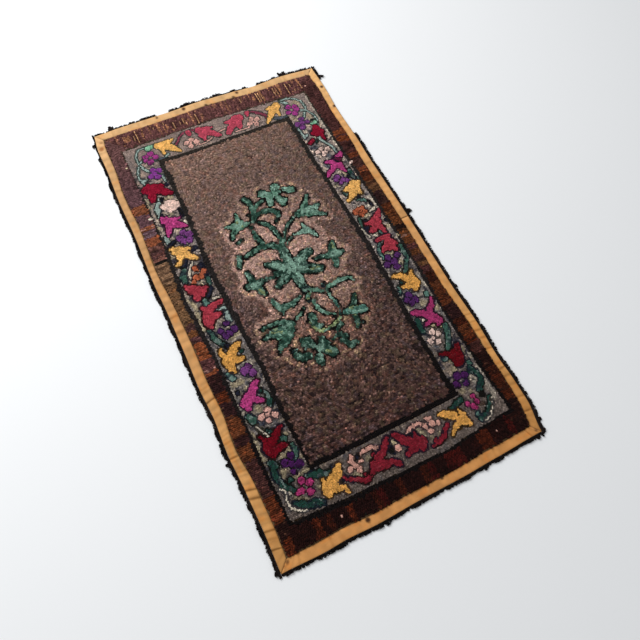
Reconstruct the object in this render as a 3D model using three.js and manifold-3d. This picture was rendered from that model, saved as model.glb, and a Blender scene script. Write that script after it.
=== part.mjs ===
// Hooked rug: a burlap foundation with a hooked loop pile, bound with twill tape
// and edged with black loops. Millimetres, +Z up, Y along the rug, the floor at Z = 0
// and the origin under the rug's middle.
import * as THREE from 'three';
import Module from 'manifold-3d';

const wasm = await Module();
wasm.setup();

// ---- Driving dimensions ----------------------------------------------------

const RUG_WIDTH = 686;         // across the outer edges of the binding tape, along X
const RUG_LENGTH = 1243;       // between the outer edges of the binding tape, along Y
const FOUNDATION_THICK = 2.4;  // burlap, doubled where its edge is turned in
const PILE_TOP = 8;            // tops of the loops above the floor
const PILE_SHOULDER = 1.6;     // how far the pile's rim leans in as it rises
const PILE_RIM_DROP = 1.1;     // how much lower the outermost loops stand
const PILE_UNEVEN = 0.45;      // rise and fall of the pile's top
const TAPE_WIDTH = 23;         // twill tape, sewn flat
const TAPE_THICK = 1.1;
const TAPE_PUCKER = 0.7;       // height of the tape's cross puckers
const TAPE_SET_BACK = 0.5;     // from the foundation's edge to the tape's outer edge
const TAPE_TO_PILE = 0.8;      // from the tape's inner edge to the foot of the pile
const EDGING_CLEAR = 0.7;      // from the foundation's edge to the edging, enough for both to bend
const EDGING_BARE = 2.2;       // turned edge that shows where the black loops are worn off
const EDGING_RISE = 0.42;      // height gained for each millimetre of reach
const GAP = 0.3;               // between pieces that lie against each other
const TAPE_STEP = 12;          // between the sections of a length of tape

const HALF_WIDTH = RUG_WIDTH / 2;
const HALF_LENGTH = RUG_LENGTH / 2;

// The four sides. `out` points away from the rug, `along` runs along the side,
// `half` is half the side's length and `reach` its distance from the middle.
const SIDES = {
  left: { out: [-1, 0], along: [0, 1], half: HALF_LENGTH, reach: HALF_WIDTH, edgingStep: 10 },
  right: { out: [1, 0], along: [0, 1], half: HALF_LENGTH, reach: HALF_WIDTH, edgingStep: 10 },
  far: { out: [0, 1], along: [1, 0], half: HALF_WIDTH, reach: HALF_LENGTH, edgingStep: 9 },
  near: { out: [0, -1], along: [1, 0], half: HALF_WIDTH, reach: HALF_LENGTH, edgingStep: 14 },
};

// How far each side swings out of straight, by place along it, both in millimetres.
const EDGE_WAVE = {
  left: [
    { at: -620, out: -1 }, { at: -530, out: -3 }, { at: -440, out: -1.5 }, { at: -350, out: 2 },
    { at: -260, out: -1.5 }, { at: -180, out: 2 }, { at: -60, out: 0 }, { at: 20, out: -0.5 },
    { at: 110, out: 1.5 }, { at: 280, out: -2 }, { at: 380, out: -0.5 }, { at: 500, out: -4 },
    { at: 565, out: -3 }, { at: 625, out: -9 },
  ],
  right: [
    { at: -625, out: -12 }, { at: -540, out: 1 }, { at: -490, out: 1 }, { at: -420, out: -2 }, { at: -320, out: 1.5 },
    { at: -200, out: -1.5 }, { at: 40, out: 1 }, { at: 250, out: -1 }, { at: 330, out: 0.5 },
    { at: 440, out: -2 }, { at: 545, out: 2.5 }, { at: 620, out: 0 },
  ],
  far: [
    { at: -340, out: -4 }, { at: -260, out: -0.5 }, { at: -120, out: 0 }, { at: -25, out: 4 },
    { at: 60, out: 1.5 }, { at: 145, out: -2.5 }, { at: 235, out: 2 }, { at: 340, out: -3 },
  ],
  near: [
    { at: -340, out: -1.5 }, { at: -240, out: 2 }, { at: -190, out: 0.5 }, { at: -110, out: 3.5 },
    { at: 0, out: 1.5 }, { at: 110, out: 2.5 }, { at: 200, out: 0.5 }, { at: 340, out: -3 },
  ],
};

// How much wider (+) or narrower (-) the tape shows than its nominal width.
const TAPE_WAVE = {
  left: [
    { at: -620, more: 0 }, { at: -440, more: 2 }, { at: -340, more: -2.5 }, { at: -240, more: 0.5 },
    { at: -80, more: 1 }, { at: 60, more: -1.5 }, { at: 160, more: -6 }, { at: 290, more: -3 },
    { at: 390, more: -5 }, { at: 500, more: -1.5 }, { at: 620, more: 0 },
  ],
  right: [
    { at: -620, more: 0 }, { at: -420, more: -4 }, { at: -330, more: -2.5 }, { at: -180, more: 0 },
    { at: 20, more: -0.5 }, { at: 220, more: 0.5 }, { at: 380, more: -2.5 }, { at: 500, more: -2 }, { at: 620, more: 0 },
  ],
  far: [
    { at: -340, more: 0 }, { at: -250, more: 3 }, { at: -90, more: 1.5 }, { at: 50, more: 0 },
    { at: 140, more: 3 }, { at: 240, more: 1.5 }, { at: 340, more: 0 },
  ],
  near: [
    { at: -340, more: 0 }, { at: -240, more: 1.5 }, { at: -60, more: 0 }, { at: 60, more: -1 },
    { at: 180, more: 0.5 }, { at: 340, more: 0 },
  ],
};

// The lengths of black edging that are left, each a piece of its own, and where the two ends
// of the binding tape meet on the right side.
const CORNER_REACH = 7;        // how far the side edgings run on past the rug's corners
const LONG_END = HALF_LENGTH + CORNER_REACH;
const SHORT_END = HALF_WIDTH - GAP;
const EDGINGS = [
  { name: 'black_edging_left', side: 'left', from: -LONG_END, to: LONG_END },
  { name: 'black_edging_right', side: 'right', from: -LONG_END, to: 348 },
  { name: 'black_edging_right_corner', side: 'right', from: 570, to: LONG_END },
  { name: 'black_edging_far_left', side: 'far', from: -SHORT_END, to: -153 },
  { name: 'black_edging_far_middle', side: 'far', from: -121, to: 133 },
  { name: 'black_edging_far_right', side: 'far', from: 157, to: SHORT_END },
  { name: 'black_edging_near', side: 'near', from: -SHORT_END, to: SHORT_END },
];
const TAPE_JOIN = 30;
const TAPES = [
  { name: 'binding_tape_left', side: 'left' },
  { name: 'binding_tape_right_near', side: 'right', to: TAPE_JOIN },
  { name: 'binding_tape_right_far', side: 'right', from: TAPE_JOIN },
  { name: 'binding_tape_far', side: 'far' },
  { name: 'binding_tape_near', side: 'near' },
];

// Stretches where the black loops stand thick: from, to and reach past the tape.
const EDGING_RUNS = {
  left: [
    { from: -632, to: -330, reach: 9.5 }, { from: -345, to: 120, reach: 9 }, { from: 105, to: 460, reach: 8 },
    { from: 445, to: 580, reach: 5.5 }, { from: 582, to: 606, reach: 9 }, { from: 600, to: 632, reach: 4 },
  ],
  right: [
    { from: -632, to: -592, reach: 10 }, { from: -600, to: -250, reach: 9 }, { from: -270, to: 345, reach: 8.5 },
    { from: 574, to: 632, reach: 7 },
  ],
  far: [
    { from: -343, to: -326, reach: 5 }, { from: -304, to: -284, reach: 13 }, { from: -280, to: -214, reach: 4.5 },
    { from: -202, to: -156, reach: 5.5 }, { from: -118, to: -36, reach: 7 }, { from: 2, to: 54, reach: 5.5 },
    { from: 74, to: 100, reach: 8 }, { from: 112, to: 130, reach: 5 }, { from: 160, to: 188, reach: 6.5 },
    { from: 230, to: 256, reach: 13 }, { from: 262, to: 343, reach: 6.5 },
  ],
  near: [
    { from: -343, to: -250, reach: 9.5 }, { from: -265, to: 130, reach: 11.5 }, { from: 110, to: 343, reach: 10 },
  ],
};

// Stray tufts that stand out of the edging: place, length past the tape and slant along the side.
const STRAY_TUFTS = [
  { side: 'left', at: 592, length: 12, slant: -5 },
  { side: 'left', at: -372, length: 14, slant: 3 },
  { side: 'left', at: -612, length: 13, slant: -6 },
  { side: 'right', at: 588, length: 19, slant: -8 },
  { side: 'right', at: 52, length: 18, slant: -7 },
  { side: 'right', at: 38, length: 20, slant: 5 },
  { side: 'right', at: -206, length: 13, slant: -4 },
  { side: 'right', at: -598, length: 15, slant: 4 },
  { side: 'far', at: -296, length: 17, slant: -4 },
  { side: 'far', at: 240, length: 17, slant: -3 },
  { side: 'far', at: 248, length: 16, slant: 5 },
  { side: 'near', at: -96, length: 16, slant: 4 },
  { side: 'near', at: 176, length: 15, slant: -5 },
];
const SMALL_TUFT = { pitch: 46, past: 2.6, slant: 3.5, endClear: 14 };  // short loops that break up the edging's line
const TUFT_ROOT = { width: 5.5, height: 3.6, depth: 1.5 };
const TUFT_TIP = { width: 2.2, height: 1.5 };

// ---- Curves along a side -----------------------------------------------------

// Smooth value of a table of { at, [column] } rows, eased between neighbouring rows.
function tableValue(rows, column, at) {
  if (at <= rows[0].at) return rows[0][column];
  for (let i = 1; i < rows.length; i += 1) {
    const a = rows[i - 1];
    const b = rows[i];
    if (at <= b.at) {
      const t = THREE.MathUtils.smoothstep(at, a.at, b.at);
      return THREE.MathUtils.lerp(a[column], b[column], t);
    }
  }
  return rows[rows.length - 1][column];
}

// Moves a point of the straight rectangle to its place on the real, slightly wavy rug:
// each side's swing is felt in proportion to the distance from the rug's middle.
function warp(x, y) {
  const sideX = x < 0 ? 'left' : 'right';
  const sideY = y < 0 ? 'near' : 'far';
  const swingX = tableValue(EDGE_WAVE[sideX], 'out', y) * (x / HALF_WIDTH);
  const swingY = tableValue(EDGE_WAVE[sideY], 'out', x) * (y / HALF_LENGTH);
  return [x + swingX, y + swingY];
}

// A point beside a side: `along` it, `out` past the tape's edge (negative inwards), at height z.
function place(side, along, out, z) {
  const s = SIDES[side];
  const x = s.along[0] * along + s.out[0] * (s.reach + out);
  const y = s.along[1] * along + s.out[1] * (s.reach + out);
  return [...warp(x, y), z];
}

const tapeWidth = (side, along) => TAPE_WIDTH + tableValue(TAPE_WAVE[side], 'more', along);

// How far the black edging stands out past the tape: the longest run that covers this place,
// tapered at the run's ends, with a slow lumpiness.
function edgingReach(side, along) {
  const taper = 7;
  const lump = 0.9 * Math.sin(along / 7.3 + side.length) + 0.7 * Math.sin(along / 17.1 + 2 * side.length);
  let reach = EDGING_BARE;
  for (const run of EDGING_RUNS[side]) {
    const inside = Math.min(along - run.from, run.to - along);
    const share = THREE.MathUtils.smoothstep(inside, -taper / 2, taper / 2);
    reach = Math.max(reach, share * (run.reach + lump));
  }
  return reach;
}

// ---- Mesh helpers ------------------------------------------------------------

function meshFrom(points, triangles) {
  const geometry = new THREE.BufferGeometry();
  geometry.setAttribute('position', new THREE.Float32BufferAttribute(points.flat(), 3));
  geometry.setIndex(triangles.flat());
  return geometry;
}

// Closed solid through a row of convex sections with the same number of points.
// Seen from the far end looking back along the row, the points of each section run clockwise.
function loft(sections) {
  const n = sections[0].length;
  const last = (sections.length - 1) * n;
  const triangles = [];
  for (let s = 0; s < sections.length - 1; s += 1) {
    for (let i = 0; i < n; i += 1) {
      const a = s * n + i;
      const b = s * n + ((i + 1) % n);
      triangles.push([a, a + n, b], [b, a + n, b + n]);
    }
  }
  for (let i = 1; i < n - 1; i += 1) {
    triangles.push([0, i, i + 1], [last, last + i + 1, last + i]);
  }
  return meshFrom(sections.flat(), triangles);
}

// The same solid whichever way round its sections were listed: turned if its volume is negative.
function facingOut(geometry) {
  const p = geometry.attributes.position;
  const index = geometry.index.array;
  const corner = (k) => new THREE.Vector3().fromBufferAttribute(p, index[k]);
  let volume = 0;
  for (let k = 0; k < index.length; k += 3) {
    volume += corner(k).dot(corner(k + 1).cross(corner(k + 2)));
  }
  if (volume < 0) {
    for (let k = 0; k < index.length; k += 3) [index[k], index[k + 1]] = [index[k + 1], index[k]];
  }
  return geometry;
}

const toSolid = (geometry) => new wasm.Manifold(new wasm.Mesh({
  numProp: 3,
  vertProperties: geometry.attributes.position.array,
  triVerts: new Uint32Array(geometry.index.array),
}));

function fromSolid(solid) {
  const mesh = solid.getMesh();
  const geometry = new THREE.BufferGeometry();
  geometry.setAttribute('position', new THREE.BufferAttribute(mesh.vertProperties, 3));
  geometry.setIndex(new THREE.BufferAttribute(mesh.triVerts, 1));
  return geometry;
}

function stations(from, to, step) {
  const count = Math.max(2, Math.round((to - from) / step) + 1);
  return Array.from({ length: count }, (_, i) => from + ((to - from) * i) / (count - 1));
}

// ---- Pieces --------------------------------------------------------------------

// Rise and fall of the pile: slow waves, where the loops were pulled up more or less.
const pileWave = (x, y) => PILE_UNEVEN * (Math.sin(x / 61 + y / 143) * Math.cos(y / 97) + 0.6 * Math.sin(x / 37 - y / 71));

// Foundation and pile in one solid: a closed height field on a grid of lines. From each edge
// inwards the lines are the rug's edge, the foot of the pile, the pile's rim and then its top.
function hookedPanel() {
  const columns = 23;
  const rows = 47;
  // Grid lines across one direction, as { share: place from -1 to 1 on the pile, kind }.
  const lines = (count) => [
    { kind: 'edge', side: -1 }, { kind: 'foot', side: -1 }, { kind: 'rim', side: -1 },
    ...Array.from({ length: count }, (_, i) => ({ kind: 'top', share: -1 + (2 * i) / (count - 1) })),
    { kind: 'rim', side: 1 }, { kind: 'foot', side: 1 }, { kind: 'edge', side: 1 },
  ];
  const topInset = 9;  // from the pile's foot to where its top is level
  const insetOf = { foot: TAPE_TO_PILE, rim: TAPE_TO_PILE + PILE_SHOULDER, top: TAPE_TO_PILE + topInset };
  const coordinate = (line, half, widthLow, widthHigh) => {
    if (line.kind === 'edge') return line.side * half;
    const low = -half + widthLow + insetOf[line.kind];
    const high = half - widthHigh - insetOf[line.kind];
    const share = line.kind === 'top' ? line.share : line.side;
    return THREE.MathUtils.lerp(low, high, (share + 1) / 2);
  };
  const height = (lineX, lineY, x, y) => {
    const kinds = [lineX.kind, lineY.kind];
    if (kinds.includes('edge') || kinds.includes('foot')) return FOUNDATION_THICK;
    const drop = kinds.includes('rim') ? PILE_RIM_DROP : 0;
    return PILE_TOP - drop + pileWave(x, y);
  };
  const linesX = lines(columns);
  const linesY = lines(rows);
  const top = [];
  for (const lineY of linesY) {
    for (const lineX of linesX) {
      // The tape's width along each side is read at the straight line's own place.
      const nearX = lineX.kind === 'top' ? lineX.share * HALF_WIDTH : lineX.side * HALF_WIDTH;
      const nearY = lineY.kind === 'top' ? lineY.share * HALF_LENGTH : lineY.side * HALF_LENGTH;
      const x = coordinate(lineX, HALF_WIDTH, tapeWidth('left', nearY), tapeWidth('right', nearY));
      const y = coordinate(lineY, HALF_LENGTH, tapeWidth('near', nearX), tapeWidth('far', nearX));
      top.push([...warp(x, y), height(lineX, lineY, x, y)]);
    }
  }
  const nx = linesX.length;
  const ny = linesY.length;
  const triangles = [];
  for (let j = 0; j < ny - 1; j += 1) {
    for (let i = 0; i < nx - 1; i += 1) {
      const a = j * nx + i;
      triangles.push([a, a + 1, a + nx + 1], [a, a + nx + 1, a + nx]);
    }
  }
  // The outline, counter-clockwise from the near left corner, closes the underside.
  const rim = [
    ...Array.from({ length: nx - 1 }, (_, i) => i),
    ...Array.from({ length: ny - 1 }, (_, j) => j * nx + nx - 1),
    ...Array.from({ length: nx - 1 }, (_, i) => ny * nx - 1 - i),
    ...Array.from({ length: ny - 1 }, (_, j) => (ny - 1 - j) * nx),
  ];
  const under = top.length;
  const floor = rim.map((k) => [top[k][0], top[k][1], 0]);
  rim.forEach((a, k) => {
    const next = (k + 1) % rim.length;
    triangles.push([a, under + k, rim[next]], [rim[next], under + k, under + next]);
  });
  const outline = floor.map(([x, y]) => new THREE.Vector2(x, y));
  for (const [a, b, c] of THREE.ShapeUtils.triangulateShape(outline, [])) {
    triangles.push([under + a, under + c, under + b]);
  }
  return facingOut(meshFrom([...top, ...floor], triangles));
}

// Cross puckers of the tape: sharp little ridges whose spacing drifts along the side.
const pucker = (side, along) => TAPE_PUCKER * Math.abs(Math.sin(along / 13 + 2.2 * Math.sin(along / 97 + side.length)));

// A length of tape lying on the foundation's margin. An end without a place of its own is
// mitred at the rug's corner, and one with a place is cut square.
function bindingTape({ side, from, to }) {
  const { half } = SIDES[side];
  const under = FOUNDATION_THICK + GAP;
  const endAt = (depth) => half - depth - GAP;
  const low = from === undefined ? -1 : (from + GAP / 2) / half;
  const high = to === undefined ? 1 : (to - GAP / 2) / half;
  const sections = stations(low, high, TAPE_STEP / half).map((share) => {
    const width = tapeWidth(side, share * half);
    const at = (depth, z) => place(side, share * endAt(depth), -depth, z);
    const crest = under + TAPE_THICK + pucker(side, share * half);
    return [
      at(TAPE_SET_BACK, under), at(width, under), at(width, under + TAPE_THICK),
      at((TAPE_SET_BACK + width) / 2, crest), at(TAPE_SET_BACK, under + TAPE_THICK),
    ];
  });
  return facingOut(loft(sections));
}

// A four-sided lock of loops, level on the floor, that tapers from its root inside the edging.
function tuft(side, along, root, length, slant) {
  const section = (out, at, { width, height }) => [
    place(side, at - width / 2, out, 0), place(side, at + width / 2, out, 0),
    place(side, at + width / 2, out, height), place(side, at - width / 2, out, height),
  ];
  return facingOut(loft([section(root, along, TUFT_ROOT), section(length, along + slant, TUFT_TIP)]));
}

// A length of black edging: a lumpy strip on the floor against the foundation's edge,
// with stray tufts and short loops fused into it.
function blackEdging({ side, from, to }) {
  const sections = stations(from, to, SIDES[side].edgingStep).map((along) => {
    const reach = edgingReach(side, along);
    const rise = FOUNDATION_THICK + EDGING_RISE * (reach - EDGING_BARE);
    const at = (out, z) => place(side, along, out, z);
    return [
      at(EDGING_CLEAR, 0), at(reach * 0.88, 0), at(reach, rise * 0.45), at(reach * 0.75, rise), at(EDGING_CLEAR, rise * 0.9),
    ];
  });
  let solid = toSolid(facingOut(loft(sections)));
  const tufts = STRAY_TUFTS.filter((row) => row.side === side && row.at > from && row.at < to);
  for (const at of stations(from + SMALL_TUFT.endClear, to - SMALL_TUFT.endClear, SMALL_TUFT.pitch)) {
    const reach = edgingReach(side, at);
    const present = reach > 3 * EDGING_BARE;
    const swing = Math.sin(at * 1.7);
    if (present) tufts.push({ at: at + 6 * swing, length: reach + SMALL_TUFT.past, slant: SMALL_TUFT.slant * swing });
  }
  for (const { at, length, slant } of tufts) {
    solid = solid.add(toSolid(tuft(side, at, TUFT_ROOT.depth, length, slant)));
  }
  return fromSolid(solid);
}

// ---- The rug -------------------------------------------------------------------

const cloth = (color) => new THREE.MeshStandardMaterial({ color, roughness: 0.95, metalness: 0 });
const PILE_WOOL = cloth('#5e4c49');
const GOLD_TWILL = cloth('#dba968');
const BLACK_WOOL = cloth('#1c1b1f');

const rug = new THREE.Group();

function addPiece(name, geometry, material) {
  geometry.computeVertexNormals();
  const mesh = new THREE.Mesh(geometry, material);
  mesh.name = name;
  rug.add(mesh);
}

addPiece('hooked_panel', hookedPanel(), PILE_WOOL);
for (const length of TAPES) addPiece(length.name, bindingTape(length), GOLD_TWILL);
for (const length of EDGINGS) addPiece(length.name, blackEdging(length), BLACK_WOOL);

export default rug;
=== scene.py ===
# %% [markdown]
# # A hooked rug, dressed around its solids
# A hooked rug is a piece of burlap with thousands of small wool loops pulled up through it. This one has a
# cotton twill tape sewn round its edge, and a ragged fringe of black wool loops outside the tape.
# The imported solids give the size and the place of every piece. This script gives them their loops, their
# wool colours, the weave of the tape and the soft light that shows it all.

# %% Load the frame
import math

import bpy
import numpy as np
from mathutils import Matrix, Vector


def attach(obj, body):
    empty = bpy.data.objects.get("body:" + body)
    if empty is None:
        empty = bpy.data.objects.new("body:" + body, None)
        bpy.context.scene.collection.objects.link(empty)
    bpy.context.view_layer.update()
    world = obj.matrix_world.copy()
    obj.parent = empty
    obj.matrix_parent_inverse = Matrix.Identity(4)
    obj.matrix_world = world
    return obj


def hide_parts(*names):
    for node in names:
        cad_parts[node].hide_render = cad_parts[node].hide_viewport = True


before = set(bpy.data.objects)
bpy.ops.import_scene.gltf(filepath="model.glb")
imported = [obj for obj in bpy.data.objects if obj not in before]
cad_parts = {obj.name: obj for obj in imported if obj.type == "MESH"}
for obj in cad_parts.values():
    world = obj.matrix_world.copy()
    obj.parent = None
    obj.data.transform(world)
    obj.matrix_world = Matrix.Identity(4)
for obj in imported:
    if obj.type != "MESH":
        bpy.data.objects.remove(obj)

MM = 0.001  # every table below is in millimetres, and every mesh is in metres
scene = bpy.context.scene
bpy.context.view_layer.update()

# %% [markdown]
# ## The camera
# The rug lies flat and is seen from above, from its near left corner. The camera is built from its own three
# directions: where it looks, what is to its right and what is up. A turn about the line of sight then tips
# the picture by ten degrees, which is simpler to check than three Euler angles.

# %% Camera
CAMERA_PLACE = Vector((-0.3389, -0.5949, 1.2652))
CAMERA_AZIMUTH = math.radians(35.92)  # from the length of the rug towards its right side
CAMERA_DOWN = math.radians(66.24)
CAMERA_ROLL = math.radians(10.0)
CAMERA_LENS = 31.4  # on a 36 mm wide sensor
NEAREST_SEEN = 0.02


def camera_turn(azimuth, down, roll):
    """Rotation whose columns are the camera's right, its up and the way back from what it looks at."""
    ahead = Vector((math.sin(azimuth) * math.cos(down), math.cos(azimuth) * math.cos(down), -math.sin(down)))
    level = Vector((math.cos(azimuth), -math.sin(azimuth), 0))
    above = level.cross(ahead)
    right = math.cos(roll) * level + math.sin(roll) * above
    up = math.cos(roll) * above - math.sin(roll) * level
    return Matrix((right, up, -ahead)).transposed().to_4x4()


camera = bpy.data.objects.new("camera", bpy.data.cameras.new("camera"))
camera.data.lens = CAMERA_LENS
camera.data.clip_start = NEAREST_SEEN
turned = camera_turn(CAMERA_AZIMUTH, CAMERA_DOWN, CAMERA_ROLL)
camera.matrix_world = Matrix.Translation(CAMERA_PLACE) @ turned
scene.collection.objects.link(camera)
scene.camera = camera
scene.view_settings.view_transform = "Standard"
print("the camera looks from", tuple(round(c, 3) for c in CAMERA_PLACE))

# %% [markdown]
# ## Light
# Wool needs soft light that comes mostly from one side, so that each loop has a lit side and a dark one.
# One large window-like lamp stands beyond the far left corner, and a pale sky fills the shadows.

# %% Sky and window
SKY_COLOUR = (0.97, 0.985, 1.0, 1)
SKY_STRENGTH = 0.5
WINDOW_PLACE = Vector((-1.3, 2.3, 2.2))
WINDOW_SIZE = 2.4
WINDOW_POWER = 118.0

world = bpy.data.worlds.new("pale_sky")
world.use_nodes = True
sky = world.node_tree.nodes["Background"]
sky.inputs["Color"].default_value = SKY_COLOUR
sky.inputs["Strength"].default_value = SKY_STRENGTH
scene.world = world

window = bpy.data.objects.new("window", bpy.data.lights.new("window", "AREA"))
window.data.shape = "SQUARE"
window.data.size = WINDOW_SIZE
window.data.energy = WINDOW_POWER
window.location = WINDOW_PLACE
window.rotation_euler = (-WINDOW_PLACE).to_track_quat("-Z", "Y").to_euler()
scene.collection.objects.link(window)

# %% [markdown]
# ## Meshes from whole arrays
# Every piece is an array of points and a few arrays of faces, handed to Blender in one go. A closed mesh has
# its faces pointing out when its signed volume is positive, so the helper measures that and turns the
# faces round where a mirrored side has made it negative.

# %% Mesh helper
def signed_volume(points, faces):
    """Six times the volume: each face is split into a fan, and each triangle adds its triple product."""
    total = 0.0
    for corners in faces:
        for k in range(1, corners.shape[1] - 1):
            a, b, c = (points[corners[:, i]] for i in (0, k, k + 1))
            total += np.einsum("ij,ij->", a, np.cross(b, c))
    return total


def mesh_object(name, points, faces, smooth=True, closed=True):
    """A mesh at the origin from points in millimetres and face arrays, one array for each corner count."""
    if closed and signed_volume(points, faces) < 0:
        faces = [corners[:, ::-1] for corners in faces]
    mesh = bpy.data.meshes.new(name)
    mesh.vertices.add(len(points))
    mesh.vertices.foreach_set("co", (points * MM).astype(np.float32).ravel())
    corners = np.concatenate([f.ravel() for f in faces]).astype(np.int32)
    sizes = np.concatenate([np.full(len(f), f.shape[1]) for f in faces])
    mesh.loops.add(len(corners))
    mesh.loops.foreach_set("vertex_index", corners)
    mesh.polygons.add(len(sizes))
    mesh.polygons.foreach_set("loop_start", (np.cumsum(sizes) - sizes).astype(np.int32))
    mesh.polygons.foreach_set("use_smooth", np.full(len(sizes), smooth))
    mesh.update(calc_edges=True)
    mesh.validate()
    piece = bpy.data.objects.new(name, mesh)
    scene.collection.objects.link(piece)
    triangles = int((sizes - 2).sum())
    print(f"{name}: {len(points)} points, {triangles} triangles")
    return piece


def paint_points(piece, colours):
    """Keeps one linear colour per point in the attribute that the piece's material reads."""
    layer = piece.data.color_attributes.new(name="wool", type="FLOAT_COLOR", domain="POINT")
    with_alpha = np.column_stack([colours, np.ones(len(colours))])
    layer.data.foreach_set("color", with_alpha.astype(np.float32).ravel())


def map_corners(piece, name, places):
    """A UV map from one (u, v) per point."""
    indices = np.empty(len(piece.data.loops), np.int32)
    piece.data.loops.foreach_get("vertex_index", indices)
    layer = piece.data.uv_layers.new(name=name)
    layer.uv.foreach_set("vector", places[indices].astype(np.float32).ravel())


# %% [markdown]
# ## Curves, noise and colour
# Handwork is never straight. Short tables say how far an edge swings or how a colour changes along a side,
# and one easing function reads them all. Noise gives the rest of the unevenness. Each use of it names the
# size of its blotches in millimetres and a seed of its own, so that the rug comes out the same each time.

# %% Easing, noise and colour
NOISE_STEPS = (127.1, 311.7, 74.7)  # steps with no common measure, for i, j and the seed
NOISE_SWING = 43758.5453


def smoothstep(t, low=0.0, high=1.0):
    """0 below low, 1 above high, and 3s² − 2s³ between, where s is the share of the way."""
    s = np.clip((t - low) / (high - low), 0, 1)
    return s * s * (3 - 2 * s)


def eased(rows, at):
    """Value of a table of (place, value) rows, eased from each row to the next. A value may be a colour."""
    places = np.array([row[0] for row in rows], float)
    values = np.array([row[1] for row in rows], float)
    i = np.clip(np.searchsorted(places, at) - 1, 0, len(places) - 2)
    share = smoothstep(at, places[i], places[i + 1])
    if values.ndim > 1:
        share = share[:, None]
    return values[i] + (values[i + 1] - values[i]) * share


def fixed_number(i, j, seed):
    """A number from 0 to 1 for each whole-number point: what a large sine leaves after its decimal point."""
    step_i, step_j, step_seed = NOISE_STEPS
    return np.mod(np.sin(i * step_i + j * step_j + seed * step_seed) * NOISE_SWING, 1.0)


def mottle(x, y, size, seed):
    """Soft noise from 0 to 1: fixed numbers on a grid with cells of this size, eased between corners."""
    size_x, size_y = size if isinstance(size, tuple) else (size, size)
    u, v = x / size_x, y / size_y
    i, j = np.floor(u), np.floor(v)
    s, t = smoothstep(u - i), smoothstep(v - j)
    low = fixed_number(i, j, seed) * (1 - s) + fixed_number(i + 1, j, seed) * s
    high = fixed_number(i, j + 1, seed) * (1 - s) + fixed_number(i + 1, j + 1, seed) * s
    return low * (1 - t) + high * t


def wobble(x, y, size, seed, swing):
    """Noise about 0: a mottle less its middle value, times its whole swing."""
    return swing * (mottle(x, y, size, seed) - 0.5)


def blotches(x, y, size, seed, low, high):
    """Blotches that stand apart: a mottle taken as 0 up to low and as 1 from high."""
    return smoothstep(mottle(x, y, size, seed), low, high)


def dye(code):
    """Linear colour of a #rrggbb code: each channel is undone by the sRGB curve."""
    srgb = np.array([int(code[i:i + 2], 16) for i in (1, 3, 5)]) / 255
    return np.where(srgb <= 0.04045, srgb / 12.92, ((srgb + 0.055) / 1.055) ** 2.4)


def wools_along(text, wool_of=dye):
    """Rows of (place, wool) along a side, from text that gives a place and a wool in turn."""
    return [(float(at), wool_of(wool)) for at, wool in (row.split() for row in text.split(","))]


def blend(a, b, share):
    """Straight mix of two colours, share by share."""
    return a + (b - a) * np.asarray(share)[..., None]


# %% [markdown]
# ## The rug's outline
# The solids swing a few millimetres out of straight on each side. The same tables are repeated here,
# because every loop has to follow them: a point of the straight rectangle is moved by its side's swing, in
# proportion to its distance from the middle.

# %% Outline tables
RUG_WIDTH = 686.0
RUG_LENGTH = 1243.0
HALF_WIDTH = RUG_WIDTH / 2
HALF_LENGTH = RUG_LENGTH / 2
TAPE_WIDTH = 23.0  # what shows of it

EDGE_WAVE = {
    "left": [(-620, -1), (-530, -3), (-440, -1.5), (-350, 2), (-260, -1.5), (-180, 2), (-60, 0), (20, -0.5),
             (110, 1.5), (280, -2), (380, -0.5), (500, -4), (565, -3), (625, -9)],
    "right": [(-625, -12), (-540, 1), (-490, 1), (-420, -2), (-320, 1.5), (-200, -1.5), (40, 1), (250, -1),
              (330, 0.5), (440, -2), (545, 2.5), (620, 0)],
    "far": [(-340, -4), (-260, -0.5), (-120, 0), (-25, 4), (60, 1.5), (145, -2.5), (235, 2), (340, -3)],
    "near": [(-340, -1.5), (-240, 2), (-190, 0.5), (-110, 3.5), (0, 1.5), (110, 2.5), (200, 0.5), (340, -3)],
}
TAPE_WAVE = {
    "left": [(-620, 0), (-440, 2), (-340, -2.5), (-240, 0.5), (-80, 1), (60, -1.5), (160, -6), (290, -3),
             (390, -5), (500, -1.5), (620, 0)],
    "right": [(-620, 0), (-420, -4), (-330, -2.5), (-180, 0), (20, -0.5), (220, 0.5), (380, -2.5), (500, -2),
              (620, 0)],
    "far": [(-340, 0), (-250, 3), (-90, 1.5), (50, 0), (140, 3), (240, 1.5), (340, 0)],
    "near": [(-340, 0), (-240, 1.5), (-60, 0), (60, -1), (180, 0.5), (340, 0)],
}
SIDES = {  # shift keeps the noise of one side from matching the next
    "left": {"out": (-1, 0), "along": (0, 1), "half": HALF_LENGTH, "reach": HALF_WIDTH, "shift": 4},
    "right": {"out": (1, 0), "along": (0, 1), "half": HALF_LENGTH, "reach": HALF_WIDTH, "shift": 5},
    "far": {"out": (0, 1), "along": (1, 0), "half": HALF_WIDTH, "reach": HALF_LENGTH, "shift": 3},
    "near": {"out": (0, -1), "along": (1, 0), "half": HALF_WIDTH, "reach": HALF_LENGTH, "shift": 4},
}


def four_sides(table, x, y):
    """A table of the four sides read at each point: its left or right side's value, and its near or far
    side's."""
    across = np.where(x < 0, eased(table["left"], y), eased(table["right"], y))
    lengthwise = np.where(y < 0, eased(table["near"], x), eased(table["far"], x))
    return across, lengthwise


def warped(x, y):
    """Points of the straight rectangle moved to the wavy rug: each coordinate swings by its side's table,
    times the point's share of the half width or half length."""
    swing_x, swing_y = four_sides(EDGE_WAVE, x, y)
    return x + swing_x * x / HALF_WIDTH, y + swing_y * y / HALF_LENGTH


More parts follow.
